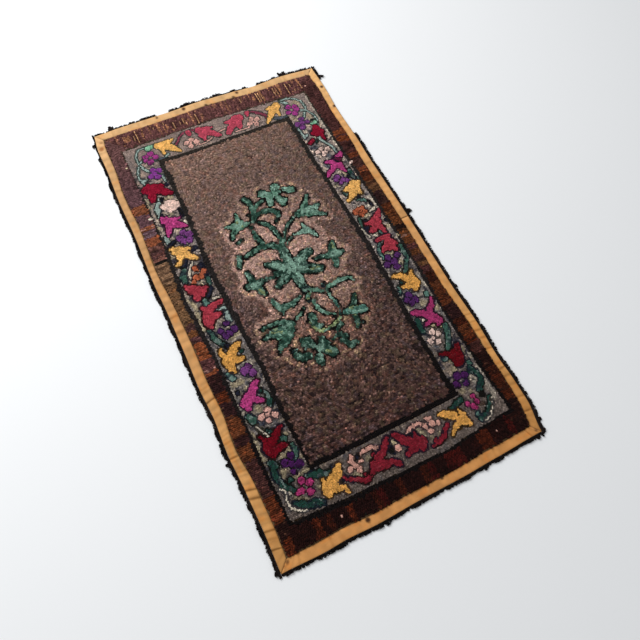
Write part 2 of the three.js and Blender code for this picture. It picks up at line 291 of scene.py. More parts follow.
def beside(side, along, out):
    """Points on the wavy rug beside a side: along it, and out past the tape's edge (negative inwards)."""
    s = SIDES[side]
    x = s["along"][0] * along + s["out"][0] * (s["reach"] + out)
    y = s["along"][1] * along + s["out"][1] * (s["reach"] + out)
    return warped(x, y)


def tape_width(side, along):
    """How wide the tape shows there: its nominal width and what its own table adds."""
    return TAPE_WIDTH + eased(TAPE_WAVE[side], along)


print("the rug measures", RUG_WIDTH, "by", RUG_LENGTH, "mm across its tape")

# %% [markdown]
# ## The design: bands and lines
# The rug has a brown outer border, a grey border of flowers between two black lines, and a brown-mauve field
# with a sprig in its middle. Each band's edge is a table of distances from the rug's middle, one per side.
# A point's depth inside a band is the least of its depths inside the four sides.

# %% Bands
GREY_BAND = {
    "left": [(-530, 280), (-400, 282), (-300, 280), (-150, 279), (-40, 282), (40, 288), (100, 283),
             (200, 279), (300, 279), (535, 281)],
    "right": [(-530, 290), (-400, 283), (-300, 281), (-200, 281), (-100, 284), (0, 285), (100, 283),
              (200, 281), (300, 279), (535, 277)],
    "far": [(-275, 537), (-200, 540), (-100, 543), (0, 546), (100, 544), (200, 541), (275, 537)],
    "near": [(-275, 538), (-200, 543), (-140, 548), (-60, 549), (0, 553), (60, 553), (110, 556), (160, 550),
             (220, 545), (285, 541)],
}
OUTER_LINE_WIDE = {
    "left": [(-535, 8), (-200, 10), (-100, 11), (0, 10), (100, 13), (200, 8), (300, 4), (535, 3)],
    "right": [(-535, 9), (300, 9), (420, 7), (535, 5)],
    "far": [(-275, 5), (0, 4), (275, 5)],
    "near": [(-275, 10), (-200, 12), (-60, 11), (60, 9), (160, 8), (285, 6)],
}
FIELD_LINE = {
    "left": [(-450, 196), (-300, 200), (-200, 198), (-100, 203), (0, 207), (100, 210), (200, 204),
             (300, 201), (455, 203)],
    "right": [(-450, 200), (-400, 197), (-300, 198), (-200, 200), (-100, 205), (0, 208), (100, 206),
              (200, 202), (300, 198), (455, 197)],
    "far": [(-190, 471), (-100, 468), (0, 470), (190, 472)],
    "near": [(-190, 459), (190, 459)],
}
FIELD_LINE_WIDE = {
    "left": [(-450, 8), (-300, 12), (0, 16), (100, 15), (200, 13), (300, 12), (450, 15)],
    "right": [(-450, 16), (-400, 14), (-300, 13), (0, 15), (200, 12), (300, 12), (450, 14)],
    "far": [(-190, 12), (0, 11), (190, 12)],
    "near": [(-190, 13), (190, 13)],
}


def depth_inside(band, u, v, wide=None):
    """How deep each point lies inside a band: the least over its sides of the side's distance from the
    middle less the point's own. A second table, where it is given, is taken off that distance."""
    reach_u, reach_v = four_sides(band, u, v)
    if wide:
        wide_u, wide_v = four_sides(wide, u, v)
        reach_u, reach_v = reach_u - wide_u, reach_v - wide_v
    return np.minimum(reach_u - np.abs(u), reach_v - np.abs(v))


# %% [markdown]
# ## The design: strokes
# Petals, leaves and stems are all drawn the same way, as strokes of a brush that swells and tapers. A
# stroke is a line of points with a width at each. The distance to the stroke says at once what is inside
# it, what is in its dark outline, and how deep inside a loop stands, which the shading of the leaves uses.

# %% Strokes
FAR_OFF = 99.0  # millimetres, further than any motif or row reaches


def stroke_distance(u, v, path):
    """Distance to a tapering stroke: for each leg, the distance to its nearest point less the half width
    there, and the least over the legs. It is negative inside."""
    best = np.full(u.shape, np.inf)
    legs = list(zip(path, path[1:])) or [(path[0], path[0])]
    for (xa, ya, ra), (xb, yb, rb) in legs:
        dx, dy = xb - xa, yb - ya
        share = np.clip(((u - xa) * dx + (v - ya) * dy) / max(dx * dx + dy * dy, 1e-9), 0, 1)
        away = np.hypot(u - xa - share * dx, v - ya - share * dy)
        best = np.minimum(best, away - ra - share * (rb - ra))
    return best


def motif_distance(u, v, paths):
    """Distance to a motif: the least over its strokes."""
    return np.min([stroke_distance(u, v, path) for path in paths], axis=0)


def nearest_motif(rows, u, v):
    """Distance to the nearest motif of some charts."""
    return np.min([motif_distance(u, v, strokes) for _, strokes in rows], axis=0)


def charted(text):
    """Rows of a chart as (skein, strokes). A row names its skein, then gives each stroke as points of
    x,y,half width in millimetres. A point without a width keeps the last one's, and a bar begins the
    next stroke."""
    rows = []
    for line in text.strip().splitlines():
        skein, drawn = line.split(" ", 1)
        strokes = []
        for stroke in drawn.split("|"):
            points = []
            for point in stroke.split():
                x, y, *half = map(float, point.split(","))
                points.append((x, y, *(half or points[-1][2:])))
            strokes.append(points)
        rows.append((skein, strokes))
    return rows


# %% [markdown]
# ## The flower border's charts
# The border was drawn the same on both sides and hooked from whatever scraps were at hand, so left and
# right are near mirror images that never quite agree. Each is charted in millimetres on the rug, in the
# order it would be hooked: stems first, then leaves and flowers over them. Skeins are named as a maker
# would name them.

# %% Wool colours
SKEINS = {
    "yellow": "#d9a75f", "amber": "#cb954c", "coral": "#ae4557", "madder": "#9c3541", "crimson": "#821029",
    "garnet": "#650816", "brick": "#741c28", "magenta": "#a83b74", "fuchsia": "#96305f", "wine": "#5a1838",
    "violet": "#733d77", "iris": "#803a88", "dusk": "#4c2659", "pink": "#c89a8e", "rose": "#c29284",
    "pale_pink": "#d5b8ac", "orange": "#a5583c", "berry": "#7c3a4a", "mint": "#8f9f98", "spring": "#7fae90",
    "teal": "#56756b", "sea": "#375449", "forest": "#1d3a32", "navy": "#1b1d2b", "soot": "#15120f",
    "cream": "#a99a7c", "pale": "#bfb3a2", "lime": "#8f9c68", "slate": "#565a62", "bark": "#4a352a",
    "lilac": "#8a7078", "orchid": "#933878", "claret": "#5a0710", "aubergine": "#421a4c",
}
SKEIN = {name: dye(code) for name, code in SKEINS.items()}

# %% Chart of the left side
LEFT_STEMS = charted("""
mint -222,527,2.2 -240,525 -249,512 -254,497 -255,484 -252,475 | -248,482,2.4 -236,486
mint -252,474,2.2 -261,467 -267,450 -269,432 -266,419,3.4 -261,406,2.2 | -264,421,4 -252,421,2.2
mint -252,473,2.4 -245,456 -236,443
slate -208,473,2 -192,472
mint -210,421,2.2 -207,398
spring -212,521,8 -198,525,4
navy -208,386,4.5
mint -266,296,2.6 -262,310,6 -259,321,7.5 -250,336,5 -242,350,4
navy -238,347,3.5 -242,341,3
navy -257,297,3.5
soot -207,304,1.8 -205,276,2
mint -271,232,4.5 -268,211,5.5
navy -255,210,4 -280,196,5
pale -240,198,3.4 -228,192,3
navy -227,168,6 -214,172,4
navy -246,151,5 -262,129,6
sea -262,123,4.5 -272,108,7.5 -272,89
pale -234,134,2.6 -250,117,2.8 -258,103 -252,88,2.6
navy -220,119,6 -214,94,5
sea -216,82,4 -218,60
navy -224,48,7 -235,31,5
teal -247,24,6 -247,12,7
pale -225,20,3.5 -216,16,3
mint -230,-15,3.6 -211,-15,4.4 | -212,-31,5.5 -214,-52
navy -222,-30,5
sea -268,-58,5 -267,-76 -260,-94 -249,-110
navy -245,-112,5
forest -219,-137,4
teal -272,-176,5 -266,-192,6.5
navy -268,-229,4.5
forest -221,-244,5.5
forest -210,-254,3.5 -208,-272,5.5 -214,-288,5
sea -268,-289,6 -262,-304,9
lime -255,-331,4.5
pale -261,-318,2 -252,-340,2.6 -244,-350,3.4
forest -241,-340,6
lime -236,-374,2.2 -226,-362,2.6
sea -217,-369,7
sea -207,-390,5 -207,-412 -214,-420,4
forest -262,-417,9 -268,-404,6 | -269,-420,6.5 -269,-442 -261,-463,6 -247,-482,5
forest -244,-457,5.5
forest -253,-508,6 -235,-521,7 -214,-526,8 -198,-532,6
forest -213,-467,4 -188,-470,6
pale -272,-466,2 -266,-476 -268,-494,2.2 -266,-511 -257,-522,2.4 -241,-530
pale -260,-484,4.4
""")
LEFT_LEAVES = charted("""
yellow -186,519,11 -165,515,14 | -158,517,9 -141,525,3 | -163,508,12 -148,494,9 -134,477,3 | -178,508,9 \
-178,487,4
crimson -264,389,13 -242,384,17 -224,388,8 | -258,392,10 -256,402,6 | -236,378,13 -216,363,9 -207,356,5 | \
-257,374,11 -260,353,7
magenta -254,279,13 -246,267,14 | -258,284,9 | -238,272,9 -217,275,4 | -236,262,12 -221,252,9 -211,243,5 | \
-250,258,10 -256,244,7 -261,234,4
yellow -262,182,12 -250,177,14 | -266,188,8 -274,191,4 | -240,177,9 -227,176,3.5 | -246,165,12 -232,151,8 \
-221,142,5 | -256,165,9 -261,149,6 -274,141,5
madder -263,60,14 -252,51,16 | -272,70,8 -279,79,3.5 | -240,50,9 -230,56,4 | -262,36,9
madder -254,-22,16 -259,-33,15 | -262,-48,8 | -248,-8,11 -232,3,8 -212,5,5 | -240,-26,10 -230,-26,6 | \
-262,8,4 -255,-4,8
amber -256,-151,16 -249,-144,15 | -262,-130,7 -266,-116,4 | -242,-132,10 -226,-120,8 -219,-114,5 | \
-238,-154,9 -222,-155,5 | -257,-166,10 -253,-178,5
magenta -256,-256,14 -248,-251 | -268,-260,7 | -240,-241,10 -226,-226,8 -217,-220,5 | -236,-262,9 \
-223,-268,5 | -260,-270,8
garnet -256,-374,15 -251,-385,14 | -256,-360,9 -265,-342,3.5 | -242,-364,9 -226,-350,8 -213,-342,4 | \
-238,-385,9 -222,-383,7 | -253,-394,8
amber -179,-512,13 -165,-508 | -178,-500,8 -178,-489,4 | -160,-499,12 -143,-489,11 -135,-476,6 | \
-160,-520,8 -145,-525,7 -140,-535,5 | -179,-523,8
""")
LEFT_FLOWERS = charted("""
orchid -214,500,7.5 | -229,494,7 | -206,484,7 | -222,473,7.5 | -233,484,5
iris -227,446,6.5 | -212,438,7 | -238,428,7.5 | -222,419,7.5 | -225,433,6
pale_pink -240,321,10 -225,318,17 -213,318,12
violet -224,228,7 | -238,214,8 | -211,216,8 | -231,202,8 | -217,201,8
orange -236,115,7 | -218,101,6 | -245,91,8 | -230,91,8 | -252,80,5
dusk -245,-72,7 | -224,-57,6 | -238,-87,8 | -212,-77,8 | -226,-82,6
violet -233,-187,9 | -218,-199,8 | -222,-180,7
pink -223,-294,7.5 | -241,-303,7 | -212,-312,6.5 | -230,-318,6 | -228,-305,4
aubergine -238,-421,8 | -220,-411,7 | -209,-435,7.5 | -229,-445,6 | -226,-428,7
fuchsia -224,-469,7.5 | -207,-481,7 | -232,-489,6.5 -241,-492,4 | -214,-500,7
""")

# %% Chart of the right side
RIGHT_STEMS = charted("""
mint 194,535,2.2 207,538 224,536 242,527 251,517 256,503,3 256,488 254,480,2.4
mint 233,483,4 248,476,3 261,463,2.2 267,447 268,430 264,412
mint 244,467,2.4 236,453
mint 198,531,3 209,522,5
spring 246,422,3 258,422,6
mint 203,421,2.2 203,398 205,381,3 | 213,388,4
soot 251,436,2.2 260,433,2
forest 229,358,5
mint 242,368,5 252,342,3.2 261,327 266,312,3.4 266,300,2.6
forest 268,234,5.5 268,206 | 279,196,5
navy 256,212,4
sea 218,173,3.5 223,162,6
navy 251,141,5
teal 245,131,2.8 257,126,5 266,118,3
navy 268,118,2 271,100,2.4
pale 257,84,2.8 271,90,4
sea 218,77,4 218,60 219,42
navy 229,60,5.5 221,29
pale 209,50,2.2 211,26,2.4 219,12 | 232,14,3 240,8,3.4
teal 253,16,7
navy 283,44,3.6
teal 229,-16,4 218,-28,3.6 216,-43 218,-61,3
sea 280,-42,5 277,-62,6.5 278,-80,5 268,-93,4 255,-111,4.4 246,-122,4
forest 224,-141,4
teal 212,-148,3 210,-166,3.2
teal 268,-196,7
forest 209,-250,5.5 206,-274,6.5 205,-282,7
pale 224,-257,4
cream 235,-278,4 256,-288,3
sea 268,-288,6 264,-303,7 259,-319 248,-333,7.5 237,-345,5
sea 216,-366,6.5
sea 267,-400,6
forest 260,-416,9 | 269,-427,6 271,-442,6.5 264,-457,7 254,-468
forest 264,-492,4 257,-509,5.5 242,-523 219,-531
pale 266,-498,1.6 261,-512 246,-529,1.8 225,-537
soot 252,-480,6
teal 216,-519,5
forest 196,-470,7 180,-474,6.5 166,-478,5.5
navy 171,-487,4
""")
RIGHT_LEAVES = charted("""
yellow 176,521,13 165,514 | 181,530,7 | 160,521,9 148,521,4 | 158,508,11 143,490,7 130,473,3 | 172,508,9 \
174,491,4
crimson 249,395,13 245,386 | 252,406,8 | 262,386,6 | 232,387,7 | 222,366,5 208,357 | 254,376,6 256,359,4.5
magenta 243,269,12 250,262,13 | 252,280,11 268,288,8 273,295,4 | 235,275,9 221,280,5 | 235,258,10 215,245,7 \
206,236,4 | 251,255,10 256,240,6 260,234,3.5
wine 249,283,3 258,275,6.5
yellow 258,182,14 252,172 | 268,184,9 | 240,175,9 226,173,4.5 | 245,160,11 232,148,8 221,139,5 | 260,166,9 \
264,149,6
madder 256,52,15 248,42,13 | 268,65,9 281,79,4 | 240,52,8 228,53,4 | 238,32,9 227,26,4 | 260,30,8 264,13,5
madder 258,-4,7 258,-18,12 | 258,-24,15 254,-31 | 228,-4,5 244,-1,6 264,-2,7 | 270,-28,8 | 261,-47,7 | \
240,-31,9 227,-38,4.5
amber 253,-149,16 255,-155,15 | 247,-140,12 236,-126,10 223,-120,7 213,-118,4 | 261,-133,8 266,-121,4 | \
238,-155,8 223,-155,5 | 251,-169,8
fuchsia 245,-249,14 250,-262,13 | 232,-239,9 216,-231,8 206,-228,5 | 253,-236,9 264,-225,6 272,-211,4.5 | \
236,-265,5 221,-270,2.6 | 262,-272,8 | 252,-280,5
claret 246,-369,17 247,-383,15 | 259,-355,9 268,-345,4.5 | 231,-358,7 212,-351,3
amber 172,-512,13 180,-516 | 160,-495,11 145,-485,9 130,-480,5 | 182,-500,8 180,-487,4 | 160,-518,8 \
145,-523,5 136,-533,3.6 | 188,-529,7
""")
RIGHT_FLOWERS = charted("""
orchid 209,506,7.5 | 227,500,7 | 203,486,6.5 | 218,477,7.5 | 228,488,6
violet 224,449,6.5 | 207,435,7 | 237,432,6 | 217,421,7.5 | 222,435,6
pale_pink 230,330,6.5 | 246,321,6.5 | 215,322,6 | 238,312,4.5 | 227,308,5.5 | 229,318,3
violet 226,222,7.5 | 238,207,8 | 218,216,5 | 227,202,6 | 247,201,4.5
orange 220,98,7 | 232,101,8 | 242,106,5 | 231,88,8 | 243,91,6
dusk 229,-61,8 | 218,-80,8 | 238,-79,9 | 255,-65,7 | 238,-95,7
dusk 223,-180,9 | 214,-190,7 | 233,-197,8 | 222,-201,7
pale_pink 227,-290,7 | 239,-303,6.5 | 209,-312,6.5 | 227,-320,6 | 221,-307,4
aubergine 222,-416,8.5 | 239,-422,7.5 | 211,-435,8 | 232,-440,6
fuchsia 229,-474,5 | 208,-487,5 | 218,-500,7 | 232,-489,5.5
""")

# %% Chart of the far and near ends
END_STEMS = charted("""
berry -141,501,3.2 -128,516 -112,530,3.6 -103,534,3.2 | -84,537,3.4 -74,531,3.2 -68,520,3
coral -92,532,7 -92,524,6
pink -88,479,2.2 -60,479 -42,483,2.6 -36,488,3 | -14,496,2.2 0,503,2.6 12,502
mint -178,476,2.4 -168,482,3.2
slate -200,474,2 -184,472,2.2
berry 98,533,4 112,526,5 124,516,5.6 134,504,5 137,494,4.4
coral 90,532,7 88,522,4.5
pink 32,482,2.4 60,480 78,483,2.6
slate 158,480,5 175,476,4 190,475,3
forest -200,-467,5 -181,-474,8 -168,-484 -156,-480,4
navy -150,-477,4
brick -135,-505,4.5 -122,-517,5 -108,-526,5.5 -95,-535,6 -80,-530,5 | -88,-522,4
rose -85,-477,3.6 -70,-473 -52,-474,4 -37,-484,4.6
navy -88,-478,4
brick -52,-490,4
brick 82,-534,3.4 100,-534,5 115,-528 125,-515 138,-505,4 | 93,-526,5
rose 36,-484,3 46,-478,3.4 60,-474,4 75,-474 83,-482
soot -8,-500,7 | 45,-488,4.6 | -145,-509,5.5
cream 4,-485,7
rose 5,-502,8
""")
END_LEAVES = charted("""
coral -62,525,12 -52,518,13 | -45,525,9 -25,524,4 | -45,515,13 -28,500,10 -15,487,7 | -58,505,10 -56,490,5
coral 50,525,13 62,524,12 | 38,522,9 18,524,4 | 42,512,14 22,498,10 12,485,7 | 52,505,11 51,490,5
brick -60,-515,12 -48,-518,13 | -45,-505,11 -25,-490,8 -8,-471,5 | -40,-522,10 -20,-522,6 -7,-534 | \
-71,-522,6
brick 58,-521,14 62,-515,13 | 50,-512,12 28,-492,10 12,-472,7 | 45,-520,9 25,-522,6 19,-526,5 | 56,-500,7 \
57,-488,3.6
""")
END_FLOWERS = charted("""
pink -110,496,6.5 | -93,503,6.5 | -82,490,7 | -102,481,6 | -98,492,3.6
pink 80,493,6.5 | 92,504,6.5 | 106,499,7 | 100,483,7 | 93,493,2.5
rose -101,-472,4 -105,-481,5.5 -98,-496,4.5 | -114,-497,6 | -95,-506,6 | -84,-490,4
rose 101,-475,6 | 86,-488,6 | 105,-490,7 | 94,-502,6 | 119,-493,4.6
""")

# %% Chart of the scraps in the ground
GROUND_SCRAPS = charted("""
cream -268,374,8 -276,352,6 -277,330,5 | -233,293,9 | -226,345,7 -212,345,6 | -278,262,5 | -276,168,6 | \
-222,64,6 -236,70,5
cream -282,36,6 -277,20,5 -278,-20,4.5 -278,-55,5 | -207,-86,5 -230,-98,4 | -252,-53,4 | -270,-205,7 \
-252,-206,8
cream -245,-227,5 | -240,-282,8 | -210,-362,5 | -278,-330,5 -280,-370,6 -280,-398 | -233,-402,8 -218,-397,5
cream -253,-441,7 -247,-431,4 | -196,-424,3 | -230,-457,6 -195,-457 | -250,-499,4 -236,-509,6 -223,-517,4 | \
-192,-500,5
pale -245,-172,3 -230,-165,3.4 -212,-168,4 | -279,-215,1.8 -279,-300 | -207,255,4 -202,330,2.6
cream 207,458,6 | 251,449,7 | 238,513,9 | 251,226,6 | 210,200,5 | 224,64,4 240,74,5 253,82,4 | 279,26,6 | \
275,350,4 279,372
cream 222,-43,5 238,-50 251,-56,3 | 255,-89,6.5 | 211,-206,7 | 248,-214,8 | 272,-238,7 | 224,-377,4 | \
224,-398,7
cream 212,-453,8 | 232,-463,6 | 271,-352,4 271,-375
pale 216,406,6 | 259,103,6 | 275,130,3 281,115,4 282,98,3 | 279,-383,5 | 250,-430,4.5 256,-445,6.5
pale 279,-414,2.4 281,-440 276,-462,5 279,-480 276,-500 | 278,300,2 279,520,4 279,400
slate 215,345,12 | 216,270,8 | 240,300,7 | -250,-314,7 | 216,-330,5
pale 240,-120,3 | 272,-140,4 277,-170,3
cream -100,-514,6 -115,-513,3.5 | -66,-492,5.5 | 65,-485,4 75,-502,5 | 89,-515,4.5 | 110,-519,4.5
bark 240,-500,7 | 262,-200,4
""")
STEMS = (LEFT_STEMS, RIGHT_STEMS, END_STEMS)
LEAVES = (LEFT_LEAVES, RIGHT_LEAVES, END_LEAVES)
FLOWERS = (LEFT_FLOWERS, RIGHT_FLOWERS, END_FLOWERS)
BORDER_MOTIFS = sum(STEMS + LEAVES + FLOWERS, [])
print(len(BORDER_MOTIFS), "motifs are charted round the border")

# %% [markdown]
# ## The sprig's chart
# The middle of the field holds a leafy sprig in mixed greens, with a star-shaped leaf at its centre. Its
# stems and leaves are laid down first in the deeper greens, and pale veins and dark shadows are hooked
# over them.

# %% Sprig
SPRIG_GREENS = {
    "deep": dye("#223c32"), "leaf": dye("#345447"), "sage": dye("#587d6a"), "mint": dye("#7b9a8a"),
    "lime": dye("#858f60"), "glass": dye("#4c7468"), "shadow": dye("#12161f"), "soot": dye("#0f0d0b"),
}
SPRIG = charted("""
deep -10,86,10 -12,68,12 -12,30,14 -11,-10,13 -8,-50,9
leaf -15,85,8 -33,99,7 -60,104 -85,100,6 -106,94,4
leaf -52,110,6 -57,135,5.5 -58,156,5
leaf -5,92,6 -3,115,5 -6,140,6 -16,158,6.5 -27,171,4.5
soot -27,171,2 -40,180,2.4 -54,185,3.4 | -57,169,6
leaf -42,190,7 -32,212 -29,235,7.5 -33,252,8 -40,258,7
leaf -28,220,5 -10,230 4,236,3.5
leaf -38,192,4 -20,202,5 0,203,6 14,196,7 24,182 23,172,5
soot 18,167,3.5 10,158,4 | -46,206,5
deep 4,98,4.5 20,122,4 36,140 56,151
sage 6,84,2.8 18,94
soot 26,97,4.5
mint 38,103,4 60,103,6 75,103,10 | 72,108,8 69,124,3 | 80,98,8 86,84,5 89,75,2.5
leaf -122,100,4.5 -128,86,7.5 -133,74,5
sage -84,188,15 | -88,189,12 -119,195,3 | -84,195,10 -80,214,5.5 -79,223,2.5 | -80,186,12 -62,183,5 | \
-95,180,9 -110,166,6 -116,157,4
deep -108,139,4 -98,143,5
sage 10,256,10 22,248,9 36,243,8 | 50,262,10 58,262,9 47,250,8 | 72,246,6 84,240,10 94,235,9 | 47,226,9 \
52,210,12 60,214,8 | 23,233,7 20,220,9 | 30,241,8 55,244,7
leaf 70,158,9 95,158,16 118,156,13 | 95,170,10 110,185,6.5 122,206,3 | 118,160,9 135,163,6 | 100,146,9 \
125,138,7 139,127,3.5
deep -68,12,4.4 -92,13,5
deep 55,16,4.4 78,15,5
leaf -136,10,8 -118,11,13 -100,12,8 | -121,20,9 -122,46,7.5 | -112,0,10 -106,-21,7.5
leaf 88,10,9 110,8,14 127,7,7 | 108,24,10 114,41,6 | 102,-8,10 96,-24,7
leaf -12,10,22 | 14,14,15
deep -18,20,15 -44,38,14 -66,50,8.5 | -15,7,13 -45,-5,12 -67,-17,7 | -38,18,12 -57,18,7 | 5,24,14 28,36,13 \
47,43,12 | 5,6,14 30,-5 52,-15,11
leaf -98,-45,4 -92,-62,7 -88,-80,8 -88,-92,3 | -85,-76,9 -65,-78,7.5 -48,-73,6 -28,-65,4
sage 2,-58,5 17,-68,4.4 32,-77 | 45,-72,5 65,-70,6 85,-65,6.5 101,-68,5 114,-75,4
shadow 38,-62,7 | 117,-83,3.6 | -12,-54,6 0,-52 | 68,-79,2
sage -5,-68,5.5 -13,-80
shadow -18,-89,3 0,-90,3.4
sage -33,-98,2.8 -48,-112,3 -64,-118,3.2
leaf -80,-124,9 -95,-135,18 -112,-136,17 | -85,-114,6 -120,-106,6.5 -149,-108,5 | -120,-130,12 -145,-130,8 \
-156,-134,5 | -100,-150,13 -125,-166,9 -138,-180,4
sage -6,-95,3.8 -3,-115,4.2 10,-133 26,-146,3.8
sage 42,-75,4 42,-104,3.6
glass 46,-113,4.6 46,-132
shadow 43,-150,6 | 46,-140,4
deep -27,-128,9 -28,-145,8 -22,-162,6
lime -40,-138,2.6 -36,-158,3.4 -27,-170,3.6 -8,-175 14,-171,4.4 36,-160,4.6
deep 70,-148,5.5 88,-138,6.5 98,-121,7 | 72,-174,8 68,-190 66,-199,6
glass 58,-153,8 80,-158,11 103,-164,9.5
shadow 82,-195,4 | -108,-189,4 -99,-192,3 | -12,-158,4
deep -42,-210,14 | -70,-182,14 -62,-194,11 | -105,-205,9.5 -90,-218 -76,-216,8 | -60,-232,12 -61,-245,9 | \
-30,-222,12 -21,-231,15 | -33,-191,9 -29,-206,10
deep 12,-196,5 26,-211,7 | 10,-214,5 21,-222,7 28,-236,7.5 43,-234,6 | 15,-186,5 31,-175
leaf -8,-203,4 6,-196
shadow 8,-197,3.6 | -77,-198,3.6 | -17,-209,3
""")
SPRIG_VEINS = charted("""
mint -8,64,8 -6,40,10 -5,15,12 -5,-8,8 -5,-25,6.5 -3,-42,5
mint -22,22,10 -45,37,8.5 -61,46,4.5 | -20,10,5.5 -58,-10,4.6 | 8,26,9 26,34,6.5 36,42,4 | 10,5,7 \
48,-12,5.5
lime 33,-8,3 52,-10
shadow 42,22,6.5 | 22,12,2.6 46,8,2.4 | -60,-24,4 | -117,51,4.4 | -122,-18,4 | 88,-20,4.6 | 68,18,3
deep -116,38,4.4 -117,26,4 | 108,34,3 | -30,4,2 -56,-1
mint -135,9,6.5 -120,10,9.5 -103,13,5.5 | -124,34,3.5 -125,46,4.5
lime -110,-8,5 -106,-21,4.5 | 113,22,3 112,40,2.4
mint 104,8,9 122,7,6.5
sage -40,256,3 -31,228,3.4 | -22,222,2.2 0,234,2 | -95,94,3 -70,104 | -130,82,4.5
mint 11,257,6.5 24,249,5 | 50,260,7 56,258,6 | 72,247,6 84,240 | 46,226,5 52,213,7 | 22,228,6
sage 84,240,5 | 34,242,3 55,243 | 14,204,2 0,204 -18,202
mint 95,160,9 128,158,7 | 60,155,5
sage 84,170,6 116,192,4 | 92,145,6 120,139,4
mint -90,188,9 -70,187,7 | -84,200,5 | -112,193,3 | -112,164,3
lime -88,196,4 | -78,181,3
mint -90,-50,2.4 -90,-76,4 | -60,-77,3.6 | 62,-70,3 100,-68 | -2,-104,2 8,-130 | 42,-78,2.4 42,-98,2
deep -78,-68,3.4 | 20,-74,2.4
lime -13,-80,4.4 | -5,-68,3
mint -128,-118,6 -140,-120,5 | -100,-124,4 -84,-122 | -148,-133,5
lime -122,-120,4 | -112,-134,2.4 -132,-126,2
sage -100,-136,3 -128,-150,2.6 | -88,-132,3 -112,-148,2.6 | -112,-106,3
sage -24,-133,5
glass -22,-160,3 | 46,-120,3
sage -16,-174,2.4 2,-176,2.6
lime 71,-147,2.8 97,-149,2.4 101,-124,2.6 | 72,-168,3.4 | 68,-197,2.4 | 76,-152,2
mint 86,-163,2.6 98,-167
mint -100,-208,3.4 -86,-218 | -62,-196,4.4 -46,-208,4.8 | -75,-220,2.4 -56,-216,2.8 -42,-213,4
mint -60,-236,3 -46,-219 | -34,-196,3.4
lime -35,-222,3 -25,-231,3.4
sage -12,-226,3 | -72,-180,4 | 34,-178,2.4 | 24,-218,2 | -5,-203,2.4
""")
print(sum(len(strokes) for _, strokes in SPRIG + SPRIG_VEINS), "strokes make the sprig")

# %% [markdown]
# ## The ground colours
# Old wool fades unevenly and hand-dyed batches never match. The tables give each band's colour along its
# length, from the near end to the far end. Their darkening towards the near end is partly the wool's own
# colour and partly painted shade for the weaker light there. Noise breaks it into the small light and
# dark flecks of a tweed.

# %% Ground tables
GREY_ACROSS = [(-280, 0.94), (0, 1.0), (280, 1.14)]
# each band's wool darkens towards the near end, partly as painted shade for its weaker light
GREY_ALONG = wools_along("-560 #5a4f49, -400 #5c524d, -200 #6b6460, 0 #7c716b, 250 #887b74, 540 #8d7b73")
FIELD_ALONG = wools_along("-450 #48322e, -320 #574039, -100 #604a44, 100 #69524a, 300 #715a51, 460 #7f6559")
FIELD_ACROSS = [(-200, 1.1), (0, 1.0), (200, 0.8)]
MEDALLION_ACROSS = [(-150, 1.1), (0, 1.02), (110, 0.84)]
MEDALLION_ALONG = wools_along("-260 #674d45, -170 #71564c, -80 #907469, 80 #a5867b, 280 #7f675e")
BROWNS = {name: dye(code) for name, code in {
    "coal": "#1e0f0e", "sable": "#2a191b", "peat": "#34190f", "umber": "#432112", "walnut": "#4c2716",
    "bark": "#54321e", "cedar": "#5c3020", "cinnamon": "#6a3822", "copper": "#74412b", "sloe": "#3b2626",
    "heather": "#482c2e", "plum": "#593b3f", "mulberry": "#583a34", "moss": "#543d2b", "lichen": "#614b3a",
    "oxblood": "#3a1412", "damson": "#55343a",
}.items()}
BROWN_BATCHES = {  # where each batch of wool begins along a side, from its near or left end
    "left": """-640 umber, -566 coal, -529 umber, -519 cedar, -509 walnut, -470 sloe, -380 bark, -343 sable,
        -323 bark, -273 sable, -239 walnut, -210 sable, -163 copper, -154 heather, -122 cinnamon,
        -75 heather, -59 bark, -39 sloe, -23 moss, 100 lichen, 170 mulberry, 182 sloe, 207 mulberry,
        220 copper, 247 plum, 268 copper, 280 plum, 320 copper, 352 plum""",
    "right": """-640 coal, -522 umber, -498 peat, -432 coal, -388 sloe, -358 umber, -343 bark, -308 peat,
        -287 sable, -242 bark, -173 peat, -142 heather, -118 moss, -103 sloe, -82 bark, -62 heather,
        -47 bark, 1 coal, 17 bark, 66 walnut, 95 sable, 136 moss, 177 walnut, 191 peat, 206 copper, 229 sloe,
        263 cedar, 283 heather, 327 cinnamon, 347 heather, 355 copper, 374 heather""",
    "far": """-340 damson""",
    "near": """-340 walnut, -294 coal, -244 peat, -234 umber, -224 coal, -210 peat, -198 coal, -162 umber,
        -148 coal, -98 peat, -84 oxblood, -70 coal, -40 peat, -22 coal, 24 peat, 44 oxblood, 60 coal,
        88 oxblood, 134 coal, 182 umber, 216 coal, 265 oxblood, 280 coal""",
}
WOOL_FADE_AND_SHADE = {  # faded wool and painted shade near: factors for red, green and blue along each side
    "left": [(-600, (0.95, 0.77, 0.65)), (-370, (1.08, 0.88, 0.78)), (-210, (0.92, 0.76, 0.7)),
             (-60, (1.33, 1.35, 1.22)), (175, (1.5, 1.42, 1.32)), (270, (0.9, 0.98, 1.0)),
             (600, (1.08, 1.12, 0.92))],
    "right": [(-600, (0.85, 0.66, 0.52)), (-400, (0.95, 0.7, 0.56)), (-220, (0.74, 0.56, 0.5)),
              (-60, (0.95, 0.88, 0.74)), (60, (0.9, 0.78, 0.64)), (190, (1.0, 0.84, 0.7)),
              (340, (0.77, 0.67, 0.54)), (600, (1.03, 0.97, 0.8))],
    "far": [(-340, (1.08, 1.1, 0.84)), (340, (1.08, 1.1, 0.84))],
    "near": [(-340, (0.84, 0.56, 0.5)), (340, (0.78, 0.51, 0.45))],
}
STREAK_CROWD = [  # how crowded the thin light rows are, along the far band
    (-300, 0.3), (-245, 0.9), (-70, 0.8), (-15, 0.35), (95, 0.4), (130, 1.0), (285, 1.0), (305, 0.2),
]
PALE_ROWS = {  # single rows of pale wool across a side: place and skein
    "left": [(-150, "rose"), (-64, "rose"), (252, "lilac"), (262, "lilac"), (277, "rose")],
    "right": [(-20, "rose")], "far": [], "near": [],
}
